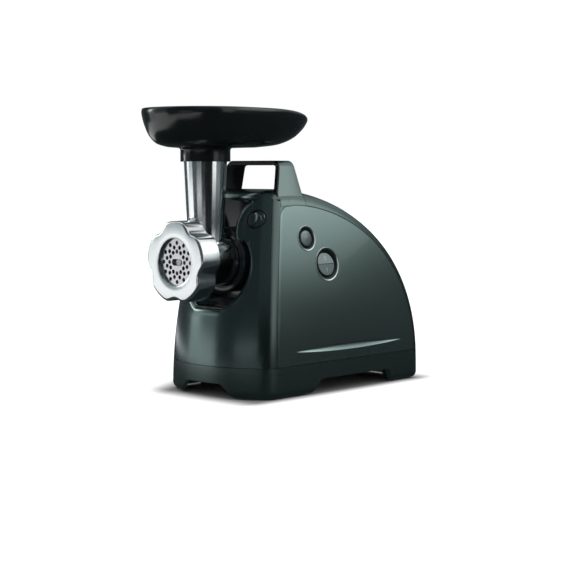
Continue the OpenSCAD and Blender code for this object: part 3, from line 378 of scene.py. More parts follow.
def crown_z(y):
    u = CROWN_Y - y
    if u < 0:
        return bezier(SPINE, spine_t(y))[1]
    return CROWN_Z + CROWN_RISE * u - CROWN_DROP * u * u


def roof_z(x, y):
    top = crown_z(y)
    r = spine_edge_r(spine_t(y)) if y > CROWN_Y else SHOULDER_R
    guess = top
    for _ in range(6):
        u = max(0.0, abs(x) - (half_w(guess) - r))
        guess = top - (r - math.sqrt(max(0.0, r * r - u * u)))
    return guess


def front_top(a):
    z = CROWN_Z
    for _ in range(4):
        x, y, _z = front_at(z, a)
        z = roof_z(x, y)
    return z


def roof_point(p, n, r, section, inset):
    """A point of the roof, from a point of its profile, the normal there and its edge's radius."""
    share, turn = section
    back = r - (r - inset) * cosd(turn)
    y, z = p[0] - n[0] * back, p[1] - n[1] * back
    if turn:
        return share * (half_w(z) - r + (r - inset) * sind(turn)), y, z
    return share * (half_w(z) - r), y, z


# ---- The front's surface as a flat sheet; u is the way round from the middle ----

def bow_u(z):
    return BOW_R * math.radians(bow_angle(z))


def u_at(turn, z):
    a = abs(turn)
    if a < bow_angle(z):
        return math.copysign(BOW_R * math.radians(a), turn)
    return math.copysign(bow_u(z) + CORNER_R * math.radians(a - bow_angle(z)), turn)


def u_of(x, z):
    if abs(x) < BOW_R * sind(bow_angle(z)):
        return u_at(math.copysign(math.degrees(math.asin(abs(x) / BOW_R)), x), z)
    a = math.degrees(math.asin(clamp((abs(x) - corner_x(z)) / CORNER_R, -1, 1)))
    return u_at(math.copysign(a, x), z)


def on_front(u, z, inset=0.0):
    bow = bow_u(z)
    if abs(u) < bow:
        a = math.degrees(abs(u) / BOW_R)
    else:
        a = bow_angle(z) + math.degrees((abs(u) - bow) / CORNER_R)
    return front_at(z, math.copysign(a, u), inset)


# ---- Materials ----

def noise(tree, vector, scale, detail):
    n = tree.nodes.new("ShaderNodeTexNoise")
    n.inputs["Scale"].default_value = scale
    n.inputs["Detail"].default_value = detail
    tree.links.new(vector, n.inputs["Vector"])
    return n.outputs["Fac"]


def spread(tree, value, low, high, at_low, at_high, smooth=False):
    """Maps a value from one range to another, and holds it at the ends."""
    n = tree.nodes.new("ShaderNodeMapRange")
    if smooth:
        n.interpolation_type = "SMOOTHSTEP"
    for key, number in (("From Min", low), ("From Max", high), ("To Min", at_low), ("To Max", at_high)):
        n.inputs[key].default_value = number
    tree.links.new(value, n.inputs["Value"])
    return n.outputs["Result"]


def blend_colours(tree, fac, *colours):
    n = tree.nodes.new("ShaderNodeMix")
    n.data_type = "RGBA"
    tree.links.new(fac, n.inputs["Factor"])
    for colour, key in zip(colours, (6, 7)):
        n.inputs[key].default_value = (*colour, 1)
    return n.outputs[2]


def surface(name, colour, darker, rough, metallic=0.0, coat=0.0, coat_rough=0.1, bump=0.0, grain=900.0,
            patch=14.0, stretch=(1, 1, 1), specular=0.5):
    """A procedural finish: broad patches of two near colours, fine roughness and an optional fine bump."""
    mat = bpy.data.materials.new(name)
    mat.use_nodes = True
    tree = mat.node_tree
    shader = tree.nodes["Principled BSDF"]
    scale = tree.nodes.new("ShaderNodeMapping")
    scale.inputs["Scale"].default_value = stretch
    tree.links.new(tree.nodes.new("ShaderNodeTexCoord").outputs["Object"], scale.inputs["Vector"])
    at = scale.outputs["Vector"]
    broad, fine = noise(tree, at, patch, 3.0), noise(tree, at, grain, 2.0)
    dark = tuple(c * darker for c in colour)
    tree.links.new(blend_colours(tree, spread(tree, broad, 0.3, 0.7, 0, 1), dark, colour),
                   shader.inputs["Base Color"])
    tree.links.new(spread(tree, fine, 0.3, 0.7, *rough), shader.inputs["Roughness"])
    for key, number in (("Metallic", metallic), ("Coat Weight", coat), ("Coat Roughness", coat_rough),
                        ("Specular IOR Level", specular)):
        shader.inputs[key].default_value = number
    if bump:
        n = tree.nodes.new("ShaderNodeBump")
        n.inputs["Strength"].default_value = bump
        n.inputs["Distance"].default_value = 0.0002
        tree.links.new(fine, n.inputs["Height"])
        tree.links.new(n.outputs["Normal"], shader.inputs["Normal"])
    return mat


PANEL = surface("anthracite_paint", (0.225, 0.305, 0.285), 0.95, (0.21, 0.23), metallic=0.97, coat=0.6,
                coat_rough=0.04, grain=1500)
DARK = surface("dark_satin_paint", (0.11, 0.15, 0.14), 0.94, (0.25, 0.27), metallic=0.97, coat=0.15,
               grain=1800)
BASE = surface("base_paint", (0.135, 0.182, 0.175), 0.93, (0.27, 0.3), metallic=0.97, coat=0.15,
               grain=1800)
FRONT = surface("front_satin_paint", (0.13, 0.182, 0.175), 0.93, (0.2, 0.22), metallic=0.97, coat=0.2,
                coat_rough=0.16, grain=1800)
CAP = surface("cap_paint", (0.18, 0.228, 0.22), 0.93, (0.3, 0.34), metallic=0.8, grain=1500)
# Light metal paint for the bezels' rims, lighter than the panel: a painted highlight standing in for the
# light their chamfers catch
RIM_HIGHLIGHT_PAINT = surface("rim_highlight_paint", (0.42, 0.49, 0.485), 0.93, (0.2, 0.24), metallic=0.95, grain=1500)
TRAY = surface("tray_plastic", (0.006, 0.009, 0.01), 0.85, (0.15, 0.19), grain=700)
RECESS = surface("recess_plastic", (0.01, 0.014, 0.016), 0.85, (0.13, 0.17), grain=700)
GLOSS = surface("gloss_black_plastic", (0.004, 0.005, 0.0055), 0.8, (0.07, 0.11), specular=0.25,
                grain=500)
MATT = surface("black_plastic", (0.012, 0.015, 0.015), 0.8, (0.3, 0.4), specular=0.3, bump=0.05,
               grain=1600)
RUBBER = surface("rubber", (0.02, 0.02, 0.02), 0.75, (0.62, 0.78), bump=0.2, grain=1200)
HEAD = surface("polished_aluminium", (0.86, 0.88, 0.89), 0.96, (0.12, 0.17), metallic=1.0, grain=420)
NUT = surface("satin_aluminium", (0.76, 0.79, 0.795), 0.97, (0.2, 0.23), metallic=1.0)
CAST = surface("cast_aluminium", (0.55, 0.56, 0.57), 0.8, (0.35, 0.5), metallic=1.0, bump=0.25,
               grain=700)
STEEL = surface("steel", (0.6, 0.6, 0.62), 0.9, (0.18, 0.28), metallic=1.0, grain=700)
COPPER = surface("copper", (0.62, 0.29, 0.13), 0.75, (0.3, 0.42), metallic=1.0, bump=0.3, grain=300,
                 stretch=(1, 0.2, 1))
BRONZE = surface("bronze", (0.5, 0.33, 0.14), 0.85, (0.25, 0.35), metallic=1.0, grain=600)
NYLON = surface("nylon", (0.72, 0.68, 0.56), 0.93, (0.38, 0.5), bump=0.05)
BOARD = surface("circuit_board", (0.03, 0.12, 0.045), 0.7, (0.3, 0.45), grain=500, patch=60)
MARK = surface("white_print", (0.6, 0.6, 0.6), 0.93, (0.4, 0.5))


# ---- Flat outlines with holes, bent onto a surface ----

def filled(name, loops, front, back, levels=(), stations=()):
    """A plate from closed loops of (u, v), the first round the others, cut at v levels and u stations;
    front and back give the place of a point on each face."""
    bm = bmesh.new()
    edges = []
    for loop in loops:
        verts = [bm.verts.new((u, v, 0)) for u, v in loop]
        edges += [bm.edges.new((verts[i - 1], verts[i])) for i in range(len(verts))]
    bmesh.ops.triangle_fill(bm, edges=edges, use_beauty=True, use_dissolve=False)
    cuts = [((0, v, 0), (0, 1, 0)) for v in levels] + [((u, 0, 0), (1, 0, 0)) for u in stations]
    for at, normal in cuts:
        bmesh.ops.bisect_plane(bm, geom=bm.verts[:] + bm.edges[:] + bm.faces[:], dist=1e-5,
                               plane_co=at, plane_no=normal)
    bmesh.ops.triangulate(bm, faces=bm.faces[:])
    bm.verts.index_update()
    flat = [(v.co.x, v.co.y) for v in bm.verts]
    n = len(flat)
    faces = [[v.index for v in f.verts] for f in bm.faces]
    rims = [(e.verts[0].index, e.verts[1].index) for e in bm.edges if e.is_boundary]
    bm.free()
    verts = [front(u, v) for u, v in flat] + [back(u, v) for u, v in flat]
    return solid(name, verts, faces + [[n + i for i in f[::-1]] for f in faces]
                 + [(a, b, n + b, n + a) for a, b in rims])


def stretched(stretches):
    """The right half of a loop from its stretches, with an even number of steps in each."""
    out = []
    for i, (points, n) in enumerate(stretches):
        if i and math.dist(points[0], stretches[i - 1][0][-1]) > 1e-6:
            points = [stretches[i - 1][0][-1]] + points
        out += resample(points, n)[:-1]
    return out + [stretches[-1][0][-1]]


def both_halves(half):
    """A closed loop from its right half; its first and last points are on the middle line."""
    return half + [(-u, v) for u, v in half[-2:0:-1]]


# ---- Outline of the opening for the grinding head ----

LOCK_Z = 208.7
LOCK_X = corner_x(LOCK_Z) + 9.45
LOCK_Y = front_y(LOCK_X, LOCK_Z)
LOCK_WELL_R = 11.4
CHAMBER_Z, CHAMBER_R = AUGER_Z - 10, 51.5
CHAMBER_FOOT = 65
LOBE_X, LOBE_Z, LOBE_R = LOCK_X + 7.5, AUGER_Z + 42, 32.0
FOOT_Z = CHAMBER_Z - CHAMBER_R * sind(CHAMBER_FOOT)
TOP_Z, TOP_R = AUGER_Z + 73, 200.0


def chamber(a0, a1, n):
    return arc(0, CHAMBER_Z, CHAMBER_R, a0, a1, n)


def lobe(a0, a1, n):
    return arc(LOBE_X, LOBE_Z, LOBE_R, a0, a1, n)


OPENING = soften(both_halves(stretched([
    ([(0, FOOT_Z), (CHAMBER_R * cosd(CHAMBER_FOOT), FOOT_Z)], 14), (chamber(-CHAMBER_FOOT, -40, 20), 14),
    (chamber(-40, 0, 40), 24), (chamber(0, 42, 40) + lobe(215, 180, 30), 38), (lobe(180, 122, 40), 24),
    (arc(0, TOP_Z - TOP_R, TOP_R, 81, 90, 20), 22)])), 5)

# ---- Front cover ----

COVER_TOP = front_top(COVER_EDGE)


def cover_edge(z0, z1, n):
    return [(u_at(COVER_EDGE, z), z) for z in steps(z0, z1, n)]


COVER_FOOT_U = 30
COVER_OUTER = both_halves(stretched([
    ([(0, BODY_FOOT), (COVER_FOOT_U, BODY_FOOT)], 14),
    ([(COVER_FOOT_U, BODY_FOOT), (u_at(COVER_EDGE, BODY_FOOT), BODY_FOOT)], 14),
    (cover_edge(BODY_FOOT, CHAMBER_Z, 40), 24), (cover_edge(CHAMBER_Z, LOBE_Z, 30), 38),
    (cover_edge(LOBE_Z, COVER_TOP, 20), 24),
    ([(u_at(a, front_top(a)), front_top(a)) for a in steps(COVER_EDGE, 0, 40)], 22)]))
COVER_INNER = [(u_of(x, z), z) for x, z in OPENING]
COVER_ROWS = 24
# The rolled edge of the opening, as (way from the edge, rise); it flattens towards the foot
LIP = [(0, -3.0), (0.35, -1.4), (1.0, -0.2), (1.9, 0.7), (3.0, 1.2), (4.4, 1.25), (6.2, 0.65),
       (8.2, 0.0)]
LIP_FOOT_SHARE, LIP_FOOT_Z, LIP_FADE = 0.25, 165, 25


def cover_rows(inset):
    rows = [[] for _ in range(COVER_ROWS)]
    last, lip_last = COVER_ROWS - 1, len(LIP) - 1
    for (u0, z0), (u1, z1) in zip(COVER_INNER, COVER_OUTER):
        length = math.dist((u0, z0), (u1, z1))
        for i, row in enumerate(rows):
            if i <= lip_last:
                d, rise = min(LIP[i][0], length * i / last), LIP[i][1]
                if rise > 0:
                    rise *= clamp((length - 3) / 10)
                    rise *= mix(LIP_FOOT_SHARE, 1, ease((z0 - LIP_FOOT_Z) / LIP_FADE))
                else:
                    rise *= clamp(length / 8)
            else:
                d = mix(min(LIP[-1][0], length * lip_last / last), length,
                        (i - lip_last) / (last - lip_last))
                rise = 0.0
            u, z = mix(u0, u1, d / length), mix(z0, z1, d / length)
            row.append(on_front(u, z, inset - (rise if inset == 0 else 0)))
    return rows


front_cover = shell("front_cover_shell", cover_rows(0.0), cover_rows(WALL), wrap=True)
LOCK_HOLE_R, THROUGH = LOCK_WELL_R + 0.1, 20
cut(front_cover, lathe_y("hole", [(0, -THROUGH), (LOCK_HOLE_R, -THROUGH), (LOCK_HOLE_R, THROUGH),
                                  (0, THROUGH)], (LOCK_X, LOCK_Y, LOCK_Z)))
finish_edges(front_cover, 0.45)
dress(front_cover, "housing", FRONT, "gloss_black", "front_cover")

# ---- Recess behind the grinding head ----

RECESS_Y, RECESS_T = -112.3, 3.0
SOCKET_R = 14.5
rim_outer, rim_inner = inset_loop(OPENING, 0.12), inset_loop(OPENING, 2.4)


def recess_grid(loop, back, rows=7):
    """The recess's wall from just behind the front's surface, lower near the top, to the back."""
    out = [[] for _ in range(rows)]
    for x, z in loop:
        start = min(front_y(x, z) + mix(0.6, 3.2, clamp((TOP_Z - z) / 8)), back - 0.3)
        for i, row in enumerate(out):
            row.append((x, mix(start, back, i / (rows - 1)), z))
    return out


walls = shell("walls", recess_grid(rim_outer, RECESS_Y + RECESS_T),
              recess_grid(rim_inner, RECESS_Y + 0.4), wrap=True)
finish_edges(walls, 0.4)
plate = filled("plate", [rim_inner, circle(0, AUGER_Z, SOCKET_R, 64)], lambda x, z: (x, RECESS_Y, z),
               lambda x, z: (x, RECESS_Y + RECESS_T, z))
finish_edges(plate, 0.3)


def radius_to(loop, at, a):
    """Distance from a point to a loop along a direction."""
    dx, dz = cosd(a), sind(a)
    best = 1e9
    for i in range(len(loop)):
        (x0, z0), (x1, z1) = loop[i - 1], loop[i]
        ex, ez = x1 - x0, z1 - z0
        det = ex * dz - ez * dx
        if abs(det) < 1e-9:
            continue
        t = (ex * (z0 - at[1]) - ez * (x0 - at[0])) / det
        s = (dx * (z0 - at[1]) - dz * (x0 - at[0])) / det
        if t > 0 and 0 <= s <= 1:
            best = min(best, t)
    return best


# The bayonet collar stands on the recess's back and is cut off by the recess's wall
COLLAR_N, COLLAR_R, COLLAR_BORE_R, COLLAR_FRONT = 144, 39.0, 30.5, -131
LUG_R, LUG_FRONT, LUG_BACK = 34.5, -122.6, -117.4
collar_r = [min(COLLAR_R, radius_to(rim_inner, (0, AUGER_Z), a) + 0.4) for a in turns(COLLAR_N)]


def collar_ring(inset, y):
    return [((r - inset) * cosd(a), y, AUGER_Z + (r - inset) * sind(a))
            for r, a in zip(collar_r, turns(COLLAR_N))]


def round_ring(r, y):
    return [(x, y, z) for x, z in circle(0, AUGER_Z, r, COLLAR_N)]


collar = loft("collar", [
    collar_ring(0, RECESS_Y + 0.5), collar_ring(0, -129.6), collar_ring(0.2, -130.3),
    collar_ring(0.7, -130.8), collar_ring(1.4, COLLAR_FRONT), round_ring(31.6, COLLAR_FRONT),
    round_ring(30.9, -130.7), round_ring(COLLAR_BORE_R, -130), round_ring(COLLAR_BORE_R, LUG_FRONT),
    round_ring(LUG_R, LUG_FRONT), round_ring(LUG_R, LUG_BACK), round_ring(COLLAR_BORE_R, LUG_BACK),
    round_ring(COLLAR_BORE_R, RECESS_Y + 0.5)], closed=True)
sharpen(collar, 40)

# The ledge under the head, as (y, height over the opening's foot)
LEDGE = [(-152, 2.1), (-146, 3.5), (-139, 8.0), (-135, 11.3), (-131, 12.4), (-126, 12.5), (-111.8, 12.5)]
LEDGE_HALF, LEDGE_UNDER = 36.0, 0.3


def ledge_half(z):
    reach = CHAMBER_R ** 2 - (CHAMBER_Z - z) ** 2
    return min(LEDGE_HALF, math.sqrt(max(reach, 0)) - 2.3)


ledge_rows = [[(x, max(y, front_y(x, z, 0.9)), z) for x in [s * ledge_half(z) for s in steps(-1, 1, 24)]]
              for y, z in resample([(y, FOOT_Z + up) for y, up in LEDGE], 26)]
ledge_under = [[(x, y, FOOT_Z + LEDGE_UNDER) for x, y, _z in row] for row in ledge_rows]
ledge = shell("ledge", ledge_rows, ledge_under)
finish_edges(ledge, 0.5, angle=50)
recess = join("head_recess_shell", [walls, plate, collar, ledge])
recess.data.set_sharp_from_angle(angle=math.radians(34))
dress(recess, "housing", RECESS, "gloss_black", "head_recess")

# ---- Columns, in (s, z) along the side ----

PANEL_EDGE = -CORNER_R * math.radians(90 - PANEL_WRAP)
PANEL_START = PANEL_EDGE + SEAM
PANEL_TOP = spine_seam(0, spine_edge_r(0) + SEAM)[1]
PANEL_ROUND = 12.0
ROUND_S, ROUND_Z = PANEL_START + PANEL_ROUND, PANEL_TOP - PANEL_ROUND
COLUMN_START = -CORNER_R * math.radians(90 - COVER_EDGE) + SEAM * 0.6


def crown_edge(s):
    """Height of the crown cap's lower edge over a place along the side."""
    y = corner_y(CROWN_Z - SHOULDER_R) + s
    return crown_z(y) - SHOULDER_R - 0.12


def roof_over(s):
    return front_top(90 + math.degrees(s / CORNER_R)) - 0.3


column_loop = ([(COLUMN_START, z) for z in steps(BODY_FOOT, roof_over(COLUMN_START), 70)]
               + [(s, roof_over(s)) for s in steps(COLUMN_START, PANEL_EDGE, 10)[1:]]
               + [(PANEL_EDGE, z) for z in steps(roof_over(PANEL_EDGE), crown_edge(PANEL_EDGE), 4)[1:]]
               + [(s, crown_edge(s)) for s in steps(PANEL_EDGE, ROUND_S - 1, 8)[1:]]
               + arc(ROUND_S, ROUND_Z, PANEL_ROUND + SEAM, 96, 180, 14)
               + [(PANEL_EDGE, z) for z in steps(ROUND_Z, BODY_FOOT, 60)[1:]])[::-1]

for side, label in ((-1, "left"), (1, "right")):
    column = filled(label + "_column_shell", [column_loop], side_point(side, 0), side_point(side, WALL),
                    levels=steps(BODY_FOOT, 236, 50)[1:-1], stations=steps(COLUMN_START, 0, 14)[1:-1])
    finish_edges(column, 0.35)
    dress(column, "housing", DARK, "dark_shell", label + "_column")

# ---- Side panels, in (s, z) along the side ----

GROOVE_L, GROOVE_R, GROOVE_Y, GROOVE_Z, GROOVE_DEPTH = 198.0, 1300.0, 5.8, 52.8, 1.6
GROOVE_RISE = math.sqrt(GROOVE_R ** 2 - GROOVE_L ** 2 / 4)
# The groove's slopes, as (share of its half height, share of its depth)
GROOVE_SECTION = ((1, 0), (0.78, 0.55), (0.5, 1.0), (0.1, 0.86), (-0.45, 0.5), (-1, 0))


def groove_half(y):
    return math.sqrt(GROOVE_R ** 2 - (y - GROOVE_Y) ** 2) - GROOVE_RISE


def along(y, z):
    return y - corner_y(z), z


groove_ys = [GROOVE_Y - GROOVE_L / 2 * math.cos(math.pi * i / 60) for i in range(61)]
groove_loop = ([along(y, GROOVE_Z - groove_half(y)) for y in groove_ys[:-1]]
               + [along(y, GROOVE_Z + groove_half(y)) for y in groove_ys[:0:-1]])
seam_line = [along(*spine_seam(t, spine_edge_r(t) + SEAM)) for t in steps(0, 1, 160)]
seam_line = [p for p in seam_line if p[0] > ROUND_S + 0.4]
panel_loop = ([(PANEL_START, z) for z in steps(BODY_FOOT, ROUND_Z, 50)]
              + arc(ROUND_S, ROUND_Z, PANEL_ROUND, 180, 90, 18)[1:] + seam_line)[::-1]
panel_loop = [(s, z) for s, z in panel_loop if z > BODY_FOOT + 0.01 or s < 1] + [
    (s, BODY_FOOT) for s in steps(PANEL_START, seam_line[-1][0], 30)[1:]]
PANEL_LEVELS = [41.5, 45.5] + steps(61, 221, 54)


def side_turn(z):
    return math.degrees(math.atan(2 * SIDE_LEAN * z / CROWN_Z ** 2))


def on_side(y, z):
    """A place on the right side's surface, with +X along the surface's normal, as a matrix."""
    return (Matrix.Translation(Vector((half_w(z), y, z)) * MM)
            @ Matrix.Rotation(math.radians(-side_turn(z)), 4, "Y"))


ROCKER, ROCKER_R, ROCKER_BEZEL = (-26.4, 153.1), 14.4, 18.6
REVERSE, REVERSE_R, REVERSE_BEZEL = (-57.2, 184.9), 9.8, 13.4


def control_hole(at, r):
    squash = cosd(side_turn(at[1]))
    return [along(at[0] + y, at[1] + squash * z) for y, z in circle(0, 0, r + 0.15, 96)]


def side_normal(p):
    """The surface's own normal at a point of either side, in mm."""
    x, y, z = abs(p[0]), p[1], p[2]
    lean, sweep = 2 * SIDE_LEAN * z / CROWN_Z ** 2, 2 * FRONT_LEAN * z / CROWN_Z ** 2
    out = Vector((1, 0, lean))
    if y < corner_y(z):
        u, v = x - corner_x(z), y - corner_y(z)
        out = Vector((u, v, u * lean - v * sweep))
    out.x = math.copysign(out.x, p[0])
    return out.normalized()


def side_gap(p):
    """How far a point lies from the surface of either side, in mm."""
    x, y, z = abs(p[0]), p[1], p[2]
    if y < corner_y(z):
        return abs(math.hypot(x - corner_x(z), y - corner_y(z)) - CORNER_R)
    return abs(x - half_w(z))


def true_normals(obj):
    """Shades the broad faces of a side by the surface's own normals."""
    mesh = obj.data
    normals = [Vector(n.vector) for n in mesh.corner_normals]
    for face in mesh.polygons:
        corners = [mesh.vertices[mesh.loops[i].vertex_index].co / MM for i in face.loop_indices]
        if side_gap(face.center / MM) < 0.06 and all(side_gap(p) < 0.03 for p in corners):
            for i, p in zip(face.loop_indices, corners):
                normals[i] = side_normal(p)
    mesh.normals_split_custom_set(normals)


def near_groove(vert, reach):
    """Whether a corner lies within a height of the groove's middle line."""
    return abs(vert.co.z / MM - GROOVE_Z) < reach


for side, label in ((-1, "left"), (1, "right")):
    holes = [groove_loop]
    if side > 0:
        holes += [control_hole(ROCKER, ROCKER_BEZEL), control_hole(REVERSE, REVERSE_BEZEL)]
    outside, inside = side_point(side, 0), side_point(side, WALL)
    panel = filled(label + "_side_panel_shell", [panel_loop] + holes, outside, inside,
                   levels=PANEL_LEVELS, stations=(-3, -2, -1, 0))
    with editing(panel.data) as bm:
        # The wall round the groove's hole goes, and the groove's own two sheets close it
        doomed = [f for f in bm.faces if len(f.verts) == 4 and all(
            near_groove(v, 6) and abs(v.co.y / MM - GROOVE_Y) < GROOVE_L / 2 + 0.1 for v in f.verts)]
        bmesh.ops.delete(bm, geom=doomed, context="FACES")
    groove_rows = []
    for y in groove_ys:
        h = groove_half(y)
        depth = GROOVE_DEPTH * (h / groove_half(GROOVE_Y)) ** 0.6 if h > 0 else 0.0
        groove_rows.append([side_point(side, depth * down)(*along(y, GROOVE_Z + share * h))
                            for share, down in GROOVE_SECTION])
    back_rows = [[inside(*along(y, GROOVE_Z + share * groove_half(y)))
                  for share in (1, 0.6, 0.2, -0.2, -0.6, -1)] for y in groove_ys]
    panel = join(label + "_side_panel_shell",
                 [panel, sheet("groove", groove_rows), sheet("groove_back", back_rows)])
    with editing(panel.data) as bm:
        bmesh.ops.remove_doubles(bm, verts=bm.verts, dist=2e-6)
        bmesh.ops.dissolve_degenerate(bm, edges=bm.edges, dist=1e-6)
        bmesh.ops.recalc_face_normals(bm, faces=bm.faces)
        for e in bm.edges:
            if (all(near_groove(v, 6) for v in e.verts) and len(e.link_faces) == 2
                    and e.calc_face_angle(0) > math.radians(7)):
                e.smooth = False
    for p in panel.data.polygons:
        p.use_smooth = True
    bevel = panel.modifiers.new("edges", "BEVEL")
    bevel.width, bevel.segments = 0.35 * MM, 3
    bevel.limit_method, bevel.angle_limit = "ANGLE", math.radians(50)
    bake(panel)
    true_normals(panel)
    dress(panel, "housing", PANEL, "side_shell", label + "_side_panel")

# ---- Crown and spine ----

ROOF_SECTION = ([(-1, a) for a in steps(90, 0, 18)[:-1]] + [(s, 0) for s in steps(-1, 1, 24)]
                + [(1, a) for a in steps(0, 90, 18)[1:]])


def spine_rows(ts, inset):
    return [[roof_point(bezier(SPINE, t), bezier_normal(SPINE, t), spine_edge_r(t), s, inset)
             for s in ROOF_SECTION] for t in ts]


def crown_row(v, inset):
    """A row of the crown cap, from the spine's start at v = 0 to the front's upper edge at 1."""
    row = []
    for section in ROOF_SECTION:
        x, _y, z = roof_point((CROWN_Y, CROWN_Z), (0, 1), SHOULDER_R, section, inset)
        room = half_w(z) - CORNER_R * (1 - sind(PANEL_WRAP)) - WALL - SEAM
        front = front_y(x, z, WALL + SEAM) if abs(x) < room else 0.0
        y = mix(CROWN_Y, min(front, corner_y(z) - CORNER_R * cosd(PANEL_WRAP) + SEAM), v)
        row.append(roof_point((y, crown_z(y)), (0, 1), SHOULDER_R, section, inset))
    return row


def crown_rows(inset):
    return ([crown_row(v, inset) for v in steps(1, 0, 14)[:-1]]
            + spine_rows(steps(0, CROWN_SHARE, 8), inset))


spine_ts = steps(CROWN_SHARE + SEAM / 300, 1, 90)
for node, rows in (("crown_cap", crown_rows), ("spine_cover", lambda inset: spine_rows(spine_ts, inset))):
    roof = shell(node + "_shell", rows(0), rows(WALL))
    finish_edges(roof, 0.3)
    dress(roof, "housing", DARK, "dark_shell", node)

# ---- Base ----

CUT_H, CUT_R = 17.5, 5.0
GLAND_X, GLAND_Z, GLAND_HOLE_R = -45, 27.15, 5.6


def base_ring(z, inset, plan_z=None):
    """The base's plan at a height, or that of plan_z, pulled in by inset."""
    p = z if plan_z is None else plan_z
    half = [front_at(p, a, inset)[:2] for a in steps(0, bow_angle(p), 24)[:-1]]
    half += [front_at(p, a, inset)[:2] for a in steps(bow_angle(p) + 1e-6, 90, 26)]
    half += [(half_w(p) - inset, y) for y in steps(corner_y(p), REAR_Y - REAR_R, 40)[1:-1]]
    half += arc(half_w(p) - REAR_R, REAR_Y - REAR_R, REAR_R - inset, 0, 90, 12)
    half += [(x, REAR_Y - inset) for x in steps(half_w(p) - REAR_R, 0, 16)[1:]]
    return [(x, y, z) for x, y in both_halves(half)]


def foot_inset(z):
    if z >= BASE_ROUND:
        return 0.0
    return BASE_ROUND - math.sqrt(max(0, BASE_ROUND ** 2 - (BASE_ROUND - z) ** 2))


skirt = [base_ring(z, foot_inset(z)) for z in (SKIRT_LIFT, 1.9, 2.4, 3, 3.7, 4.5, 5.4, 6.4, 7.6, 9, 12, 16,
                                               20, 25, 30, 34, BASE_H)]
TONGUE_TOP, TONGUE_FOOT, FLANGE_Z = BASE_H + 3.5, 31.8, 18.5
inside = [base_ring(BASE_H, 3.1), base_ring(TONGUE_TOP, 3.1), base_ring(TONGUE_TOP, 6.1),
          base_ring(TONGUE_FOOT, 6.1), base_ring(TONGUE_FOOT, 3.05, 0), base_ring(FLANGE_Z, 3.05, 0),
          base_ring(FLANGE_Z, 7.05, 0), base_ring(SKIRT_LIFT, 7.05, 0)]
base = loft("base_shell", skirt + inside, closed=True)


def trapezium(middle, top, flare0, flare1):
    """A cut-out with rounded upper corners, as (along, up)."""
    a, b = middle - top / 2, middle + top / 2
    out = [(a - flare0 * 1.12, -2), (b + flare1 * 1.12, -2)]
    for corner, flare, outwards in ((b, flare1, 1), (a, flare0, -1)):
        length = math.hypot(flare, CUT_H)
        ends = ((corner + outwards * flare / length * CUT_R, CUT_H - CUT_H / length * CUT_R),
                (corner, CUT_H), (corner - outwards * CUT_R, CUT_H))
        curve = [tuple((1 - t) ** 2 * p + 2 * t * (1 - t) * q + t * t * r for p, q, r in zip(*ends))
                 for t in steps(0, 1, 8)]
        out += curve[::outwards]
    return out


side_cut, front_cut = trapezium(15.5, 125, 17, 17 / 3), trapezium(0, 58, 17, 17)
cut(base, loft("tool", [[(x, y, z) for y, z in side_cut] for x in (-200, 200)]))
cut(base, loft("tool", [[(x, y, z) for x, z in front_cut] for y in (-200, 0)]))
cut(base, lathe_y("gland_hole", [(0, -20), (GLAND_HOLE_R, -20), (GLAND_HOLE_R, 5), (0, 5)],
                  (GLAND_X, REAR_Y, GLAND_Z), 48))
finish_edges(base, 0.5, angle=45)
dress(base, "housing", BASE, "dark_shell", "base")

# ---- Handle ----

HANDLE_C, HANDLE_R, HANDLE_LEAN = (34.0, 266.0), 11.0, 17.5
HANDLE_FRONT, HANDLE_REAR = -79, -52
SHELL_D, LINING_D, TRIM_W = 3.5, 5.5, 1.9
EVENED = 6


def handle_path(inset):
    """The handle's outline from one foot over the top to the other, as (x, z)."""
    r = HANDLE_R - inset
    start = (HANDLE_C[0] + r * cosd(HANDLE_LEAN), HANDLE_C[1] + r * sind(HANDLE_LEAN))
    fall = start[1] - (CROWN_Z - 10)
    lean = math.tan(math.radians(HANDLE_LEAN))
    half = [(start[0] + k * fall * lean, start[1] - k * fall) for k in steps(1, 0, 24)[:-1]]
    half += arc(*HANDLE_C, r, HANDLE_LEAN, 90, 18)
    half += [(x, HANDLE_C[1] + r) for x in steps(HANDLE_C[0], 0, 10)[1:]]
    return half + [(-x, z) for x, z in half[-2::-1]]


def handle_spread(z):
    """How far the legs have widened at a height, from 0 at the top to 1."""
    return clamp((CROWN_Z + 30 - z) / 36) ** 1.1


def handle_band(name, d0, d1, front_by, rear_by, outer_r, inner_r):
    """A band of the handle between two depths, from front_by behind the handle's front to rear_by
    behind its rear, or to front_by + TRIM_W where rear_by is None."""
    section = []
    for end, d, r, inward in ((0, d0, outer_r, 1), (1, d0, outer_r, 1), (1, d1, inner_r, -1),
                              (0, d1, inner_r, -1)):
        back = 1 if end == 0 else -1
        points = [(end, back * r * (1 - cosd(a)), d + inward * r * (1 - sind(a)))
                  for a in steps(0, 90, 4)]
        section += points[::-1] if back != inward else points
    paths = {d: handle_path(d) for _end, _dy, d in section}
    middle = handle_path(0)
    last = len(middle) - 1
    rings = []
    for i, (_x, spread_z) in enumerate(middle):
        widened = handle_spread(spread_z)
        front = HANDLE_FRONT - 14.5 * widened
        rear = front + TRIM_W if rear_by is None else HANDLE_REAR + 3 * widened + rear_by
        ring = []
        for end, dy, d in section:
            x, z = paths[d][i]
            y = (front + front_by if end == 0 else rear) + dy
            ring.append((x, y, roof_z(x, y) + 0.03 if i in (0, last) else z))
        rings.append(ring)
    # The first steps above the crown are evened out
    for foot, step in ((0, 1), (last, -1)):
        for j in range(len(section)):
            a, b = rings[foot][j], rings[foot + step * EVENED][j]
            for k in range(1, EVENED):
                even = [mix(p, q, k / EVENED) for p, q in zip(a, b)]
                ring = rings[foot + step * k]
                ring[j] = (even[0], even[1] * 0.5 + ring[j][1] * 0.5, even[2])
    obj = loft(name, rings)
    sharpen(obj, 40)
    return obj


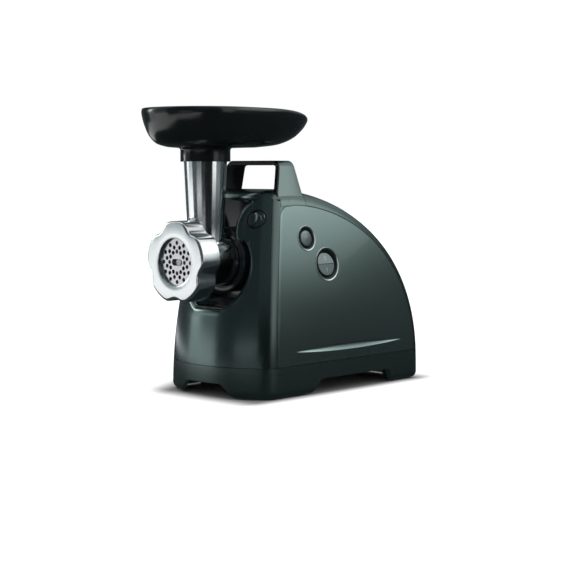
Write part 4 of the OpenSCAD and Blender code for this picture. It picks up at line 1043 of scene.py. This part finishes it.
handle = handle_band("handle_shell", 0, SHELL_D, TRIM_W + 0.2, 0, 0.9, 0.3)
dress(handle, "housing", DARK, "dark_shell", "handle")
trim = handle_band("handle_trim", 0, SHELL_D, 0, None, 0.7, 0.3)
dress(trim, "housing", GLOSS, "gloss_black", "handle")
lining = handle_band("handle_lining_shell", SHELL_D + 0.02, LINING_D, 0.1, -0.1, 0.2, 0.8)
dress(lining, "housing", GLOSS, "gloss_black", "handle_lining")

# ---- Grinding head ----

TUBE_Y, TUBE_TOP, TUBE_R0, TUBE_R1 = -156.0, 289.0, 21.3, 25.8
BARREL_R, BARREL_FRONT_R, FILLET, FILLET_STEPS = 30.0, 36.0, 4.0, 8
BARREL_REAR, BORE_R, BORE_END = -113, 26, -117
NUT_FRONT, NUT_L = -205.8, 28.5
NUT_REAR = NUT_FRONT + NUT_L
PLATE_Y, PLATE_T, PLATE_R = NUT_FRONT + 4.2, 5, 31
HEAD_N = 144
LOW_RING_Z = 200

barrel = lathe_y("barrel", [
    (0, PLATE_Y), (35.2, PLATE_Y), (BARREL_FRONT_R, PLATE_Y + 0.8), (BARREL_FRONT_R, NUT_REAR - 1.6),
    (35.4, NUT_REAR - 1), (31.2, NUT_REAR - 1), (30.35, NUT_REAR - 0.6), (BARREL_R, NUT_REAR + 0.4),
    (BARREL_R, -123), (BARREL_R, BARREL_REAR - 0.6), (29.4, BARREL_REAR), (0, BARREL_REAR)],
    AUGER_AXIS, 160)


def tube_r(z):
    low = AUGER_Z + BARREL_R
    return mix(TUBE_R0, TUBE_R1, clamp((z - low) / (TUBE_TOP - low)))


def fillet_ring(k):
    """A ring of the fillet between barrel and tube; the first lies inside the barrel."""
    ring = []
    for a in turns(HEAD_N):
        reach = TUBE_R0 + FILLET
        cx, cy = reach * cosd(a), reach * sind(a)
        centre = Vector((cx, cy, math.sqrt((BARREL_R + FILLET) ** 2 - cx * cx)))
        to_barrel = Vector((-centre.x, 0, -centre.z)).normalized()
        to_tube = Vector((-cosd(a), -sind(a), 0))
        if k == 0:
            p = centre + to_barrel * (FILLET + 0.5)
        else:
            p = centre + to_barrel.slerp(to_tube, (k - 1) / FILLET_STEPS) * FILLET
        ring.append((p.x, TUBE_Y + p.y, AUGER_Z + p.z))
    return ring


tube_rings = [fillet_ring(k) for k in range(FILLET_STEPS + 2)]
fillet_top = tube_rings[-1]
for z in steps(LOW_RING_Z, TUBE_TOP - 0.6, 24):
    ring = []
    for (_x, _y, low), a in zip(fillet_top, turns(HEAD_N)):
        height = max(z, low + (z - LOW_RING_Z) * 0.02 + 0.01)
        ring.append((tube_r(height) * cosd(a), TUBE_Y + tube_r(height) * sind(a), height))
    tube_rings.append(ring)
tube_rings.append([(x, y, TUBE_TOP) for x, y in circle(0, TUBE_Y, TUBE_R1 - 0.6, HEAD_N)])
foot_ring = [(x * 0.6, TUBE_Y + (y - TUBE_Y) * 0.6, AUGER_Z + 4) for x, y, _z in tube_rings[0]]
cut(barrel, loft("tube", [foot_ring] + tube_rings), "UNION")
cut(barrel, lathe_y("bore", [(0, PLATE_Y - 1), (31.1, PLATE_Y - 1), (31.1, PLATE_Y + PLATE_T),
                             (BORE_R, PLATE_Y + PLATE_T), (BORE_R, BORE_END), (0, BORE_END)],
                    AUGER_AXIS, HEAD_N))
bore = lathe("bore", [(0, AUGER_Z), (19, AUGER_Z), (19, 199), (22, 249), (22, TUBE_TOP - 0.5),
                      (22.6, TUBE_TOP + 0.1), (22.6, 300), (0, 300)], HEAD_N)
cut(barrel, place(bore, Matrix.Translation((0, TUBE_Y * MM, 0))))
cut(barrel, lathe_y("bore", [(0, -118), (11.3, -118), (11.3, -112), (0, -112)], AUGER_AXIS, 64))
shaved_r = BARREL_FRONT_R + 0.3
cut(barrel, lathe_y("shave", [(shaved_r, -230), (49, -230), (49, NUT_REAR + 0.25),
                              (shaved_r, NUT_REAR + 0.25)], AUGER_AXIS, closed=True))
sharpen(barrel, 32)
parts = [barrel]
for k in range(3):
    lug = block("lug", [(x, y, z) for x in (-6, 6) for y in (-122, -118) for z in (27, 33.6)])
    finish_edges(lug, 0.6)
    parts.append(place(lug, Matrix.Translation(Vector(AUGER_AXIS) * MM)
                       @ Matrix.Rotation(math.radians(120 * k), 4, "Y")))
head = join("grinding_head_casting", parts)
head.data.set_sharp_from_angle(angle=math.radians(32))
dress(head, "head", HEAD, "head_metal", "grinding_head")

# ---- Ring nut ----

NUT_R, NUT_HOLLOW, NUT_SHARE, NUT_LOBES, NUT_N = 48.0, 5.8, 0.42, 5, 300
NUT_BORE_R, NUT_INNER_R = 27.6, 36.4


def nut_radius(a):
    u = abs(((a * NUT_LOBES / 360 + 0.5) % 1) - 0.5) * 2
    hollow = 0.0 if u < NUT_SHARE else (1 - cosd((u - NUT_SHARE) / (1 - NUT_SHARE) * 180)) / 2
    return NUT_R - NUT_HOLLOW * hollow


nut_outline = soften([(nut_radius(a) * cosd(a + 90), nut_radius(a) * sind(a + 90))
                      for a in turns(NUT_N)], 6)
nut_rings = [[(x, NUT_FRONT + back, z) for x, z in circle(0, AUGER_Z, r, NUT_N, 90)]
             for r, back in ((NUT_BORE_R, 0.7), (27.75, 0.25), (28.3, 0), (34, 0))]
nut_rings += [[(x, NUT_FRONT + back, AUGER_Z + z) for x, z in inset_loop(nut_outline, inset)]
              for inset, back in ((3.4, 0), (2.3, 0.12), (1.3, 0.5), (0.55, 1.15), (0.12, 2.0), (0, 3.0),
                                  (0, 12), (0, NUT_L - 1.4), (0.15, NUT_L - 0.7), (0.6, NUT_L - 0.2),
                                  (1.3, NUT_L))]
nut_rings += [[(x, NUT_FRONT + back, z) for x, z in circle(0, AUGER_Z, r, NUT_N, 90)]
              for r, back in ((37.2, NUT_L), (NUT_INNER_R, NUT_L - 0.8), (NUT_INNER_R, 4), (NUT_BORE_R, 4))]
nut = loft("ring_nut_casting", nut_rings, closed=True)
sharpen(nut, 40)
dress(nut, "nut", NUT, "nut_metal", "ring_nut")

# ---- Perforated plate ----

HOLE_R, HOLES, SLOT_HALF, SLOT_R = 2.3, 12, (17.3 - 7.4) / 2, 3.7
holes = [circle(r * cosd((k + ring / 2) * 360 / HOLES),
                AUGER_Z + r * sind((k + ring / 2) * 360 / HOLES), HOLE_R, 28)
         for ring, r in enumerate((12.6, 17.6, 22.6)) for k in range(HOLES)]
holes.append(arc(SLOT_HALF, AUGER_Z, SLOT_R, -90, 90, 14) + arc(-SLOT_HALF, AUGER_Z, SLOT_R, 90, 270, 14))
plate = filled("perforated_plate_disc", [circle(0, AUGER_Z, PLATE_R, 120)] + holes,
               lambda x, z: (x, PLATE_Y, z), lambda x, z: (x, PLATE_Y + PLATE_T, z))
finish_edges(plate, 0.18, angle=60, segments=2)
dress(plate, "plate", STEEL, "steel", "perforated_plate")

# ---- Feed tray ----

TRAY_FOOT, TRAY_RIM, TRAY_DROP, TRAY_SLANT, TRAY_N = 292.0, 337.0, 10.5, 0.45, 168
TRAY_H = 48
TRAY_REAR, TRAY_FRONT, TRAY_HALF_W, TRAY_WALL = 152.0, 73.0, 71.0, 2.6
SLEEVE_FOOT, SLEEVE_R, SLEEVE_IN_R, TRAY_BORE_R = 275.5, 29.2, 26.1, 22.5


def tray_at(a, k, z):
    """A point of the tray: a is the direction from the tube, k the share of the rim's reach."""
    c, s = cosd(a), sind(a)
    behind = max(0.0, s)
    length, power = (TRAY_REAR, 0.82) if s > 0 else (TRAY_FRONT, 0.92)
    w = TRAY_HALF_W * (1 - 0.1 * behind ** 2)
    reach = k - (1 - k) * TRAY_SLANT * behind ** 2
    return (math.copysign(abs(c) ** power, c) * w * reach,
            TUBE_Y + math.copysign(abs(s) ** power, s) * length * reach,
            z - TRAY_DROP * behind ** 3 * (z - TRAY_FOOT) / TRAY_H)


def tray_ring(k, share, up=0.0):
    return [tray_at(a, k, mix(TRAY_FOOT - 1, TRAY_RIM, share) + up) for a in turns(TRAY_N)]


def tray_circle(r, z):
    return [(x, y, z) for x, y in circle(0, TUBE_Y, r, TRAY_N)]


def between(ring0, ring1, t):
    return [tuple(mix(p, q, t) for p, q in zip(a, b)) for a, b in zip(ring0, ring1)]


def catmull(points, n):
    """A smooth line through points, with n steps between each two."""
    out = []
    padded = [points[0]] + points + [points[-1]]
    for i in range(len(points) - 1):
        for t in steps(0, 1, n)[:-1]:
            out.append(tuple(0.5 * (2 * b + (c - a) * t + (2 * a - 5 * b + 4 * c - d) * t * t
                                    + (3 * b - a - 3 * c + d) * t ** 3)
                             for a, b, c, d in zip(*padded[i:i + 4])))
    return out + [points[-1]]


TRAY_PROFILE = catmull([(0.6, 0.03), (0.77, 0.12), (0.885, 0.32), (0.955, 0.58), (0.99, 0.79),
                        (1.0, 0.9)], 5)
neck = tray_circle(31.6, 291.3)
outer = [tray_circle(r, z) for r, z in ((28.8, SLEEVE_FOOT), (SLEEVE_R, SLEEVE_FOOT + 0.4),
                                        (SLEEVE_R, 282), (SLEEVE_R, 288.6), (29.5, 289.9),
                                        (30.3, 290.8))] + [neck]
outer += [between(neck, tray_ring(*TRAY_PROFILE[0]), t) for t in (0.33, 0.66)]
outer += [tray_ring(*p) for p in TRAY_PROFILE]
lip = [tray_ring(k, s) for k, s in ((0.9985, 0.932), (0.995, 0.96), (0.989, 0.982), (0.981, 0.996),
                                    (0.972, 1.0), (0.963, 0.997), (0.957, 0.986), (0.954, 0.968),
                                    (0.954, 0.94))]
inner = [tray_ring(k - TRAY_WALL / TRAY_HALF_W, s, TRAY_WALL * (1 - clamp((s - 0.5) / 0.4)))
         for k, s in reversed(TRAY_PROFILE)]
tray_floor = inner[-1]
mouth = tray_circle(24.0, tray_floor[0][2])
inner += [between(tray_floor, mouth, t) for t in (0.4, 0.8)] + [mouth]
inner += [tray_circle(r, z) for r, z in ((22.9, 294.7), (TRAY_BORE_R, 294.0),
                                         (TRAY_BORE_R, TUBE_TOP + 0.15), (SLEEVE_IN_R, TUBE_TOP + 0.15),
                                         (SLEEVE_IN_R, SLEEVE_FOOT + 0.4), (26.4, SLEEVE_FOOT))]
tray = loft("feed_tray_moulding", outer + lip + inner, closed=True)
sharpen(tray, 44)
dress(tray, "tray", TRAY, "gloss_black", "feed_tray")

# ---- Controls on the right side ----

TO_X = Matrix.Rotation(math.radians(90), 4, "Y")
MOUTH, RIM_W = 2.6, 2.0


def bezel(name, r, bore, depth, at, node):
    rim = r + RIM_W
    profile = [(bore, -depth), (r, -depth), (r, -0.4), (rim, -0.4), (rim, 0.2), (rim - 0.15, 0.45),
               (rim - 0.5, 0.55), (rim - 0.8, 0.5), (r, 0.05), (r - 0.4, -0.2)]
    profile += [(mix(r - 0.8, bore + 0.35, t), -0.4 - (MOUTH - 0.4) * t ** 1.5)
                for t in steps(0, 1, 10)] + [(bore, -MOUTH - 0.25)]
    obj = place(lathe(name, profile, 128, closed=True), on_side(*at) @ TO_X)
    sharpen(obj, 50)
    dress(obj, "housing", MATT, "black_plastic", node)
    # The rim, as far in as the top of its slope, gets a light metal paint: its shape and reflections are
    # real, its lightness is a painted highlight for the light its chamfer catches
    obj.data.materials.append(RIM_HIGHLIGHT_PAINT)
    to_axis = on_side(*at).inverted()
    for face in obj.data.polygons:
        spot = to_axis @ face.center
        if math.hypot(spot.y, spot.z) > (r - 0.2) * MM and spot.x > -0.5 * MM:
            face.material_index = 1


bezel("power_bezel_ring", ROCKER_BEZEL, ROCKER_R + 0.6, 14, ROCKER, "power_bezel")
bezel("reverse_bezel_ring", REVERSE_BEZEL, REVERSE_R + 0.3, 11, REVERSE, "reverse_bezel")

ROCKER_SINK, ROCKER_TILT, ROCKER_N = 5.4, 6.0, 96
ROCKER_FACE_R, ROCKER_BACK, SLIT_HALF = 13.5, -3.0, 0.45
AXLE_R, AXLE_HALF = 1.5, 17.1


def rocker_face(z):
    """Height of the rocker's face over its axle; a fine groove divides its halves."""
    return 4.0 - 1.1 * abs(z) / 20 - 0.45 * clamp(1 - abs(z) / SLIT_HALF)


def rocker_ring(r, down):
    """A ring of the rocker's edge, down from its face, or its back where down is None."""
    return [(ROCKER_BACK if down is None else rocker_face(z) + down, y, z)
            for y, z in circle(0, 0, r, ROCKER_N)]


rings = [rocker_ring(*row) for row in ((ROCKER_R, None), (ROCKER_R, -0.95), (14.3, -0.45), (14.0, -0.15),
                                       (ROCKER_FACE_R, 0.0))]
heights = set([round(v, 4) for v in steps(-ROCKER_FACE_R, ROCKER_FACE_R, 54)]
              + [-SLIT_HALF, -0.2, 0.2, SLIT_HALF])
face_rows = [[(rocker_face(z), s * math.sqrt(max(0, ROCKER_FACE_R ** 2 - z * z)), z)
              for s in steps(-1, 1, 24)] for z in sorted(heights)]
axle = lathe_y("axle", [(0, -AXLE_HALF), (AXLE_R, -AXLE_HALF), (AXLE_R, AXLE_HALF), (0, AXLE_HALF)],
               (0, 0, 0), 32)
rocker = join("power_rocker_cap", [loft("rocker_rim", rings, caps=False), sheet("face", face_rows), axle])
with editing(rocker.data) as bm:
    bmesh.ops.recalc_face_normals(bm, faces=bm.faces)
tilt = (on_side(*ROCKER) @ Matrix.Translation((-ROCKER_SINK * MM, 0, 0))
        @ Matrix.Rotation(math.radians(-ROCKER_TILT), 4, "Y"))
place(rocker, tilt)
sharpen(rocker, 24)
dress(rocker, "rocker", CAP, "black_plastic", "power_rocker")

MARK_T, MARK_SINK, ONE_HALF_W = 0.12, 0.02, 0.32
ZERO_Z, ZERO_HALF_W, ZERO_HALF_H = 7.2, 1.9, 2.7
zero_rings = []
for a in turns(40):
    ring = []
    for share, up in ((1.0, 0.0), (1.0, MARK_T), (0.72, MARK_T), (0.72, 0.0)):
        y = ZERO_HALF_W * share * cosd(a)
        z = ZERO_Z + ZERO_HALF_H * (share - 0.06 * (1 - share)) * sind(a)
        ring.append((rocker_face(z) + up - MARK_SINK, y, z))
    zero_rings.append(ring)
one = [(rocker_face(z) + up - MARK_SINK, y, z)
       for z in (-9.8, -4.8) for y in (-ONE_HALF_W, ONE_HALF_W) for up in (0, MARK_T)]
marks = join("rocker_marks", [loft("zero", zero_rings, closed=True), block("one", one)])
place(marks, tilt)
dress(marks, "rocker", MARK, "black_plastic")

button = lathe("cap", [(0, -6), (9.7, -6), (REVERSE_R, -5.8), (REVERSE_R, -1.5), (9.6, -0.95),
                       (9.1, -0.5), (8.4, -0.3), (6, -0.12), (3, 0.15), (1.4, 0.3), (0, 0.34)])
stem = lathe("stem", [(0, -11), (2.5, -11), (2.5, -5.9), (0, -5.9)], 32)
button = join("reverse_button_cap", [button, stem])
place(button, on_side(*REVERSE) @ TO_X)
sharpen(button, 40)
dress(button, "reverse", CAP, "black_plastic", "reverse_button")

# ---- Lock on the front ----

LOCK_N, LOCK_CAP_R, LOCK_CUP_R = 96, 9.4, 9.8
LOCK_FLOOR_Y, LOCK_FLOOR_T, LOCK_STEM_R = -109.3, 0.6, 3
GRIP_X, GRIP_HALF_W, GRIP_HALF_H, GRIP_H = -4.3, 4.9, 8.4, 2.3


def lock_ring(r, y_of):
    """A ring about the lock's middle, on a surface given by y_of(x, z)."""
    return [(x, y_of(x, z), z) for x, z in circle(LOCK_X, LOCK_Z, r, LOCK_N)]


def flat_ring(r, y):
    return lock_ring(r, lambda _x, _z: y)


def front_ring(r, inset):
    return lock_ring(r, lambda x, z: front_y(x, z, inset))


floor_front = LOCK_FLOOR_Y - LOCK_FLOOR_T
cup = loft("lock_cup", [
    flat_ring(LOCK_WELL_R, LOCK_FLOOR_Y), front_ring(LOCK_WELL_R, 0.1), front_ring(11.2, -0.3),
    front_ring(10.8, -0.5), front_ring(10.3, -0.4), front_ring(9.95, 0.1), front_ring(LOCK_CUP_R, 0.9),
    flat_ring(LOCK_CUP_R, floor_front), flat_ring(LOCK_STEM_R + 0.3, floor_front),
    flat_ring(LOCK_STEM_R + 0.3, LOCK_FLOOR_Y)], closed=True)
sharpen(cup, 45)
dress(cup, "housing", MATT, "black_plastic", "lock_bezel")


def cap_ring(r):
    """The cap follows the front; its left half is a raised grip with rounded edges."""
    edge = (0.5 if r > 9.0 else 0.0) + (0.35 if r > 9.25 else 0.0)

    def cap_y(x, z):
        across, up = (x - LOCK_X - GRIP_X) / GRIP_HALF_W, (z - LOCK_Z) / GRIP_HALF_H
        raised = math.sqrt(clamp((1 - across ** 2 - up ** 2) / 0.35)) * GRIP_H
        return front_y(x, z, 1.25 - raised + edge)
    return lock_ring(r, cap_y)


cap = loft("cap", [flat_ring(LOCK_CAP_R, LOCK_Y + 5.0)]
           + [cap_ring(r) for r in [LOCK_CAP_R, 9.2, 8.9] + steps(8.5, 0.4, 26)])
stem = lathe_y("stem", [(0, LOCK_Y + 2.3), (LOCK_STEM_R, LOCK_Y + 2.3), (LOCK_STEM_R, -108.9),
                        (0, -108.9)], (LOCK_X, 0, LOCK_Z), 32)
cap = join("lock_button_cap", [cap, stem])
sharpen(cap, 50)
dress(cap, "lock", BASE, "black_plastic", "lock_button")

# ---- Feet ----

FOOT_PROFILE = [(0, 0.3), (5.5, 0.3), (5.9, 0), (7.6, 0), (8.1, 0.25), (8.3, 0.8), (9, 5.6), (8.7, 6),
                (4.5, 6), (4.5, 9), (0, 9)]
for i, (x, y) in enumerate(((60, -98), (-60, -98), (62, 108), (-62, 108)), 1):
    foot = lathe(f"foot_{i}_pad", FOOT_PROFILE, 64)
    place(foot, Matrix.Translation((x * MM, y * MM, 0)))
    sharpen(foot, 40)
    dress(foot, "housing", RUBBER, "rubber", f"foot_{i}")

# ---- Finishes of the CAD's own solids ----

for material, nodes in (
        (MATT, "bottom_plate power_bezel reverse_bezel lock_bezel power_switch reverse_switch "
               "gearbox_housing gearbox_cover front_bracket rear_bracket lock_button reverse_button "
               "power_rocker cord_gland"),
        (RUBBER, "foot_1 foot_2 foot_3 foot_4"),
        (GLOSS, "front_cover head_recess feed_tray handle_lining"),
        (DARK, "base left_column right_column crown_cap spine_cover handle"),
        (PANEL, "left_side_panel right_side_panel"),
        (HEAD, "grinding_head"),
        (NUT, "ring_nut"),
        (CAST, "auger"),
        (STEEL, "layshaft_pin_1 layshaft_pin_2 motor_core front_bearing rear_bearing armature_shaft "
                "drive_shaft knife perforated_plate lock_latch lock_spring reverse_spring"),
        (COPPER, "upper_coil lower_coil armature_core commutator"),
        (BRONZE, "output_bush left_brush_holder right_brush_holder"),
        (NYLON, "cooling_fan first_wheel second_wheel output_wheel"),
        (BOARD, "filter_board")):
    for node in nodes.split():
        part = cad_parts[node]
        part.data.materials.clear()
        part.data.materials.append(material)
        sharpen(part, 32)

# ---- Camera ----

CAMERA_TURN, CAMERA_DOWN = 43.482, 4.741
scene = bpy.context.scene
lens = bpy.data.cameras.new("camera")
lens.sensor_width = 36
lens.lens = 89.77
camera = bpy.data.objects.new("camera", lens)
camera.location = (1.2443, -1.3222, 0.2647)
camera.rotation_euler = (math.radians(90 - CAMERA_DOWN), 0, math.radians(CAMERA_TURN))
scene.collection.objects.link(camera)
scene.camera = camera

# ---- Floor, backdrop, screens and lamps, in metres ----

scene.view_settings.view_transform = "Standard"


def calculated(tree, operation, *values):
    """A maths node's result from sockets and numbers."""
    node = tree.nodes.new("ShaderNodeMath")
    node.operation = operation
    for socket, v in zip(node.inputs, values):
        if isinstance(v, (int, float)):
            socket.default_value = v
        else:
            tree.links.new(v, socket)
    return node.outputs[0]


def background_rays(tree):
    """1 for what the camera sees directly or in metal and glass, 0 for the light on the object."""
    rays = tree.nodes.new("ShaderNodeLightPath").outputs
    seen = calculated(tree, "MAXIMUM", rays["Is Camera Ray"], rays["Is Glossy Ray"])
    return calculated(tree, "MAXIMUM", seen, rays["Is Transmission Ray"])


def paper(name, colour, glow_colour=(1, 1, 1)):
    """A matt sheet that can glow, with its node tree and its shader."""
    mat = bpy.data.materials.new(name)
    mat.use_nodes = True
    shader = mat.node_tree.nodes["Principled BSDF"]
    shader.inputs["Base Color"].default_value = (*colour, 1)
    shader.inputs["Roughness"].default_value = 1.0
    shader.inputs["Specular IOR Level"].default_value = 0.0
    shader.inputs["Emission Color"].default_value = (*glow_colour, 1)
    return mat, mat.node_tree, shader


def position(tree):
    """The shaded point's place, as its three sockets."""
    split = tree.nodes.new("ShaderNodeSeparateXYZ")
    tree.links.new(tree.nodes.new("ShaderNodeNewGeometry").outputs["Position"], split.inputs[0])
    return split.outputs


AMBIENT = 0.9
world = bpy.data.worlds.new("studio")
scene.world = world
world.use_nodes = True
tree = world.node_tree
sky = tree.nodes["Background"]
sky.inputs["Color"].default_value = (1, 1, 1, 1)
tree.links.new(spread(tree, background_rays(tree), 0, 1, AMBIENT, 1.0, smooth=True),
               sky.inputs["Strength"])

# The floor is pale paper whose own glow fades out in a painted shadow round the object, a skewed box that
# reaches further to the front and the back left; inside it the paper's real shadow shows
FLOOR_HALF, FLOOR_DROP, FLOOR_PAPER, FLOOR_GLOW = 6, 0.0002, (0.3, 0.3, 0.3), 0.95
SHADOW_LEFT, SHADOW_RIGHT, SHADOW_FRONT, SHADOW_BACK = 0.14, 0.078, 0.15, 0.13
SHADOW_SKEW, SHADOW_RIGHT_FADE, SHADOW_FADE = 0.5, 1.6, 0.05
mesh = bpy.data.meshes.new("floor")
mesh.from_pydata([(x * FLOOR_HALF, y * FLOOR_HALF, 0) for x, y in ((-1, -1), (1, -1), (1, 1), (-1, 1))],
                 [], [(0, 1, 2, 3)])
floor = link("floor", mesh)
floor.location.z = -FLOOR_DROP
white, tree, shader = paper("floor_paper", FLOOR_PAPER)
x, y, _z = position(tree)
# Distances past the sides of the painted shadow's box
skewed = calculated(tree, "ADD", x, calculated(tree, "MULTIPLY", y, SHADOW_SKEW))
past_left = calculated(tree, "SUBTRACT", calculated(tree, "MULTIPLY", skewed, -1.0), SHADOW_LEFT)
past_right = calculated(tree, "MULTIPLY", calculated(tree, "SUBTRACT", x, SHADOW_RIGHT),
                        SHADOW_RIGHT_FADE)
past_front = calculated(tree, "SUBTRACT", calculated(tree, "MULTIPLY", y, -1.0), SHADOW_FRONT)
past_back = calculated(tree, "SUBTRACT", y, SHADOW_BACK)
squares = [calculated(tree, "POWER", calculated(tree, "MAXIMUM", calculated(tree, "MAXIMUM", *ends), 0.0),
                      2.0) for ends in ((past_left, past_right), (past_front, past_back))]
outside = calculated(tree, "SQRT", calculated(tree, "ADD", *squares))
glow = calculated(tree, "MULTIPLY", spread(tree, outside, 0, SHADOW_FADE, 0, FLOOR_GLOW, smooth=True),
                  background_rays(tree))
tree.links.new(glow, shader.inputs["Emission Strength"])
mesh.materials.append(white)


def on_arc(turn, distance, height):
    """A place round the object, by its turn from the camera's direction, positive to its right."""
    a = math.radians(CAMERA_TURN + turn)
    return Vector((math.sin(a) * distance, -math.cos(a) * distance, height))


def reflector(name, verts, faces, tint, glow):
    """A sheet seen only in reflections. Its glow is one number, or goes from one to another between two
    heights where it is (low, glow there, high, glow there)."""
    mesh = bpy.data.meshes.new(name)
    mesh.from_pydata(verts, [], faces)
    mat, tree, shader = paper(name, (0, 0, 0), tint)
    if isinstance(glow, tuple):
        low, at_low, high, at_high = glow
        tree.links.new(spread(tree, position(tree)[2], low, high, at_low, at_high, smooth=True),
                       shader.inputs["Emission Strength"])
    else:
        shader.inputs["Emission Strength"].default_value = glow
    mesh.materials.append(mat)
    obj = link(name, mesh)
    for ray in ("camera", "diffuse", "transmission", "volume_scatter", "shadow"):
        setattr(obj, "visible_" + ray, False)


def screen(name, points, distance, glow, tint, parts):
    """A curved screen round the object, through (turn, foot, top) points with parts steps between."""
    verts = []
    for i, (start, end) in enumerate(zip(points, points[1:])):
        for t in steps(0, 1, parts)[1 if i else 0:]:
            turn, foot, top = (mix(a, b, t) for a, b in zip(start, end))
            verts += [on_arc(turn, distance, foot), on_arc(turn, distance, top)]
    faces = [(k, k + 2, k + 3, k + 1) for k in range(0, len(verts) - 2, 2)]
    reflector(name, verts, faces, tint, glow)


def lamp(name, turn, distance, height, size, power, aim, reflected):
    light = bpy.data.lights.new(name, "AREA")
    light.shape = "RECTANGLE"
    light.size, light.size_y = size
    light.energy = power
    obj = bpy.data.objects.new(name, light)
    obj.location = on_arc(turn, distance, height)
    obj.rotation_euler = (Vector((0, 0, aim)) - obj.location).to_track_quat("-Z", "Y").to_euler()
    scene.collection.objects.link(obj)
    obj.visible_glossy = reflected


lamp("top", 0, 0.25, 1.6, (1.6, 1.6), 3, 0.15, False)
lamp("left_strip", -105, 1.6, 0.5, (0.3, 0.5), 2.4, 0.25, True)
lamp("right_box", 88, 1.45, 0.95, (0.9, 0.8), 2.4, 0.15, True)

COOL, PALE = (0.8, 1.0, 1.05), (0.92, 1, 1)
FAR_RIGHT = [(92.8, 0, 0.315), (96.5, 0, 0.423), (108, 0, 0.75), (129, 0, 1.3), (157, 0, 2.2)]
for name, points, distance, glow, tint in (
        ("front", [(-22, 0, 2.2), (36, 0, 2.2)], 1.5, (0.2, 0.008, 0.6, 0.12), COOL),
        ("right", [(58, 0, 0.7), (113, 0, 0.7)], 1.5, (0.13, 0.04, 0.6, 1.0), PALE),
        ("far_right", FAR_RIGHT, 1.45, (0.42, 0.06, 1.0, 0.55), COOL),
        ("back", [(157, 0, 2.4), (228, 0, 2.4)], 1.5, (0.0, 0.1, 2.0, 0.22), COOL),
        ("back_left", [(-132, 0, 2.2), (-108, 0, 2.2)], 1.45, 0.06, COOL)):
    screen("screen_" + name, points, distance, glow, tint, 6)
TABLE_RIM = [(-150, 1.7), (-140, 0.8), (-100, 0.8), (-60, 0.8), (-50, 1.0), (-10, 1.0), (0, 1.7),
             (40, 1.7), (80, 1.7), (120, 1.7), (160, 1.7), (185, 1.7)]
reflector("table", [on_arc(turn, distance, 0.0004) for turn, distance in TABLE_RIM],
          [tuple(range(len(TABLE_RIM)))], COOL, 0.045)
for name, turn0, turn1, foot, top, distance, glow, tint in (
        ("highlight", -107, -93, 0.0, 0.25, 1.3, 1.0, (0.93, 1.0, 1.0)),
        ("mid_left", -92, -70, 0.17, 1.2, 1.32, 0.34, COOL),
        ("left", -70, -22, 0.142, 2.2, 1.3, 0.07, COOL),
        ("foot_middle", -68, -46, 0.1, 0.142, 1.28, 0.05, COOL),
        ("low_left", -46, -22, 0.1, 0.142, 1.28, 1.0, (0.95, 1.0, 1.0)),
        ("foot_left", -68, -22, 0.0, 0.1, 1.28, 0.04, COOL),
        ("low_right", 36, 60, 0.0, 0.115, 1.4, 0.03, COOL),
        ("shelf_right", 60, 86, 0.11, 0.165, 1.38, 0.35, COOL)):
    screen("screen_" + name, [(turn0, foot, top), (turn1, foot, top)], distance, glow, tint, 8)
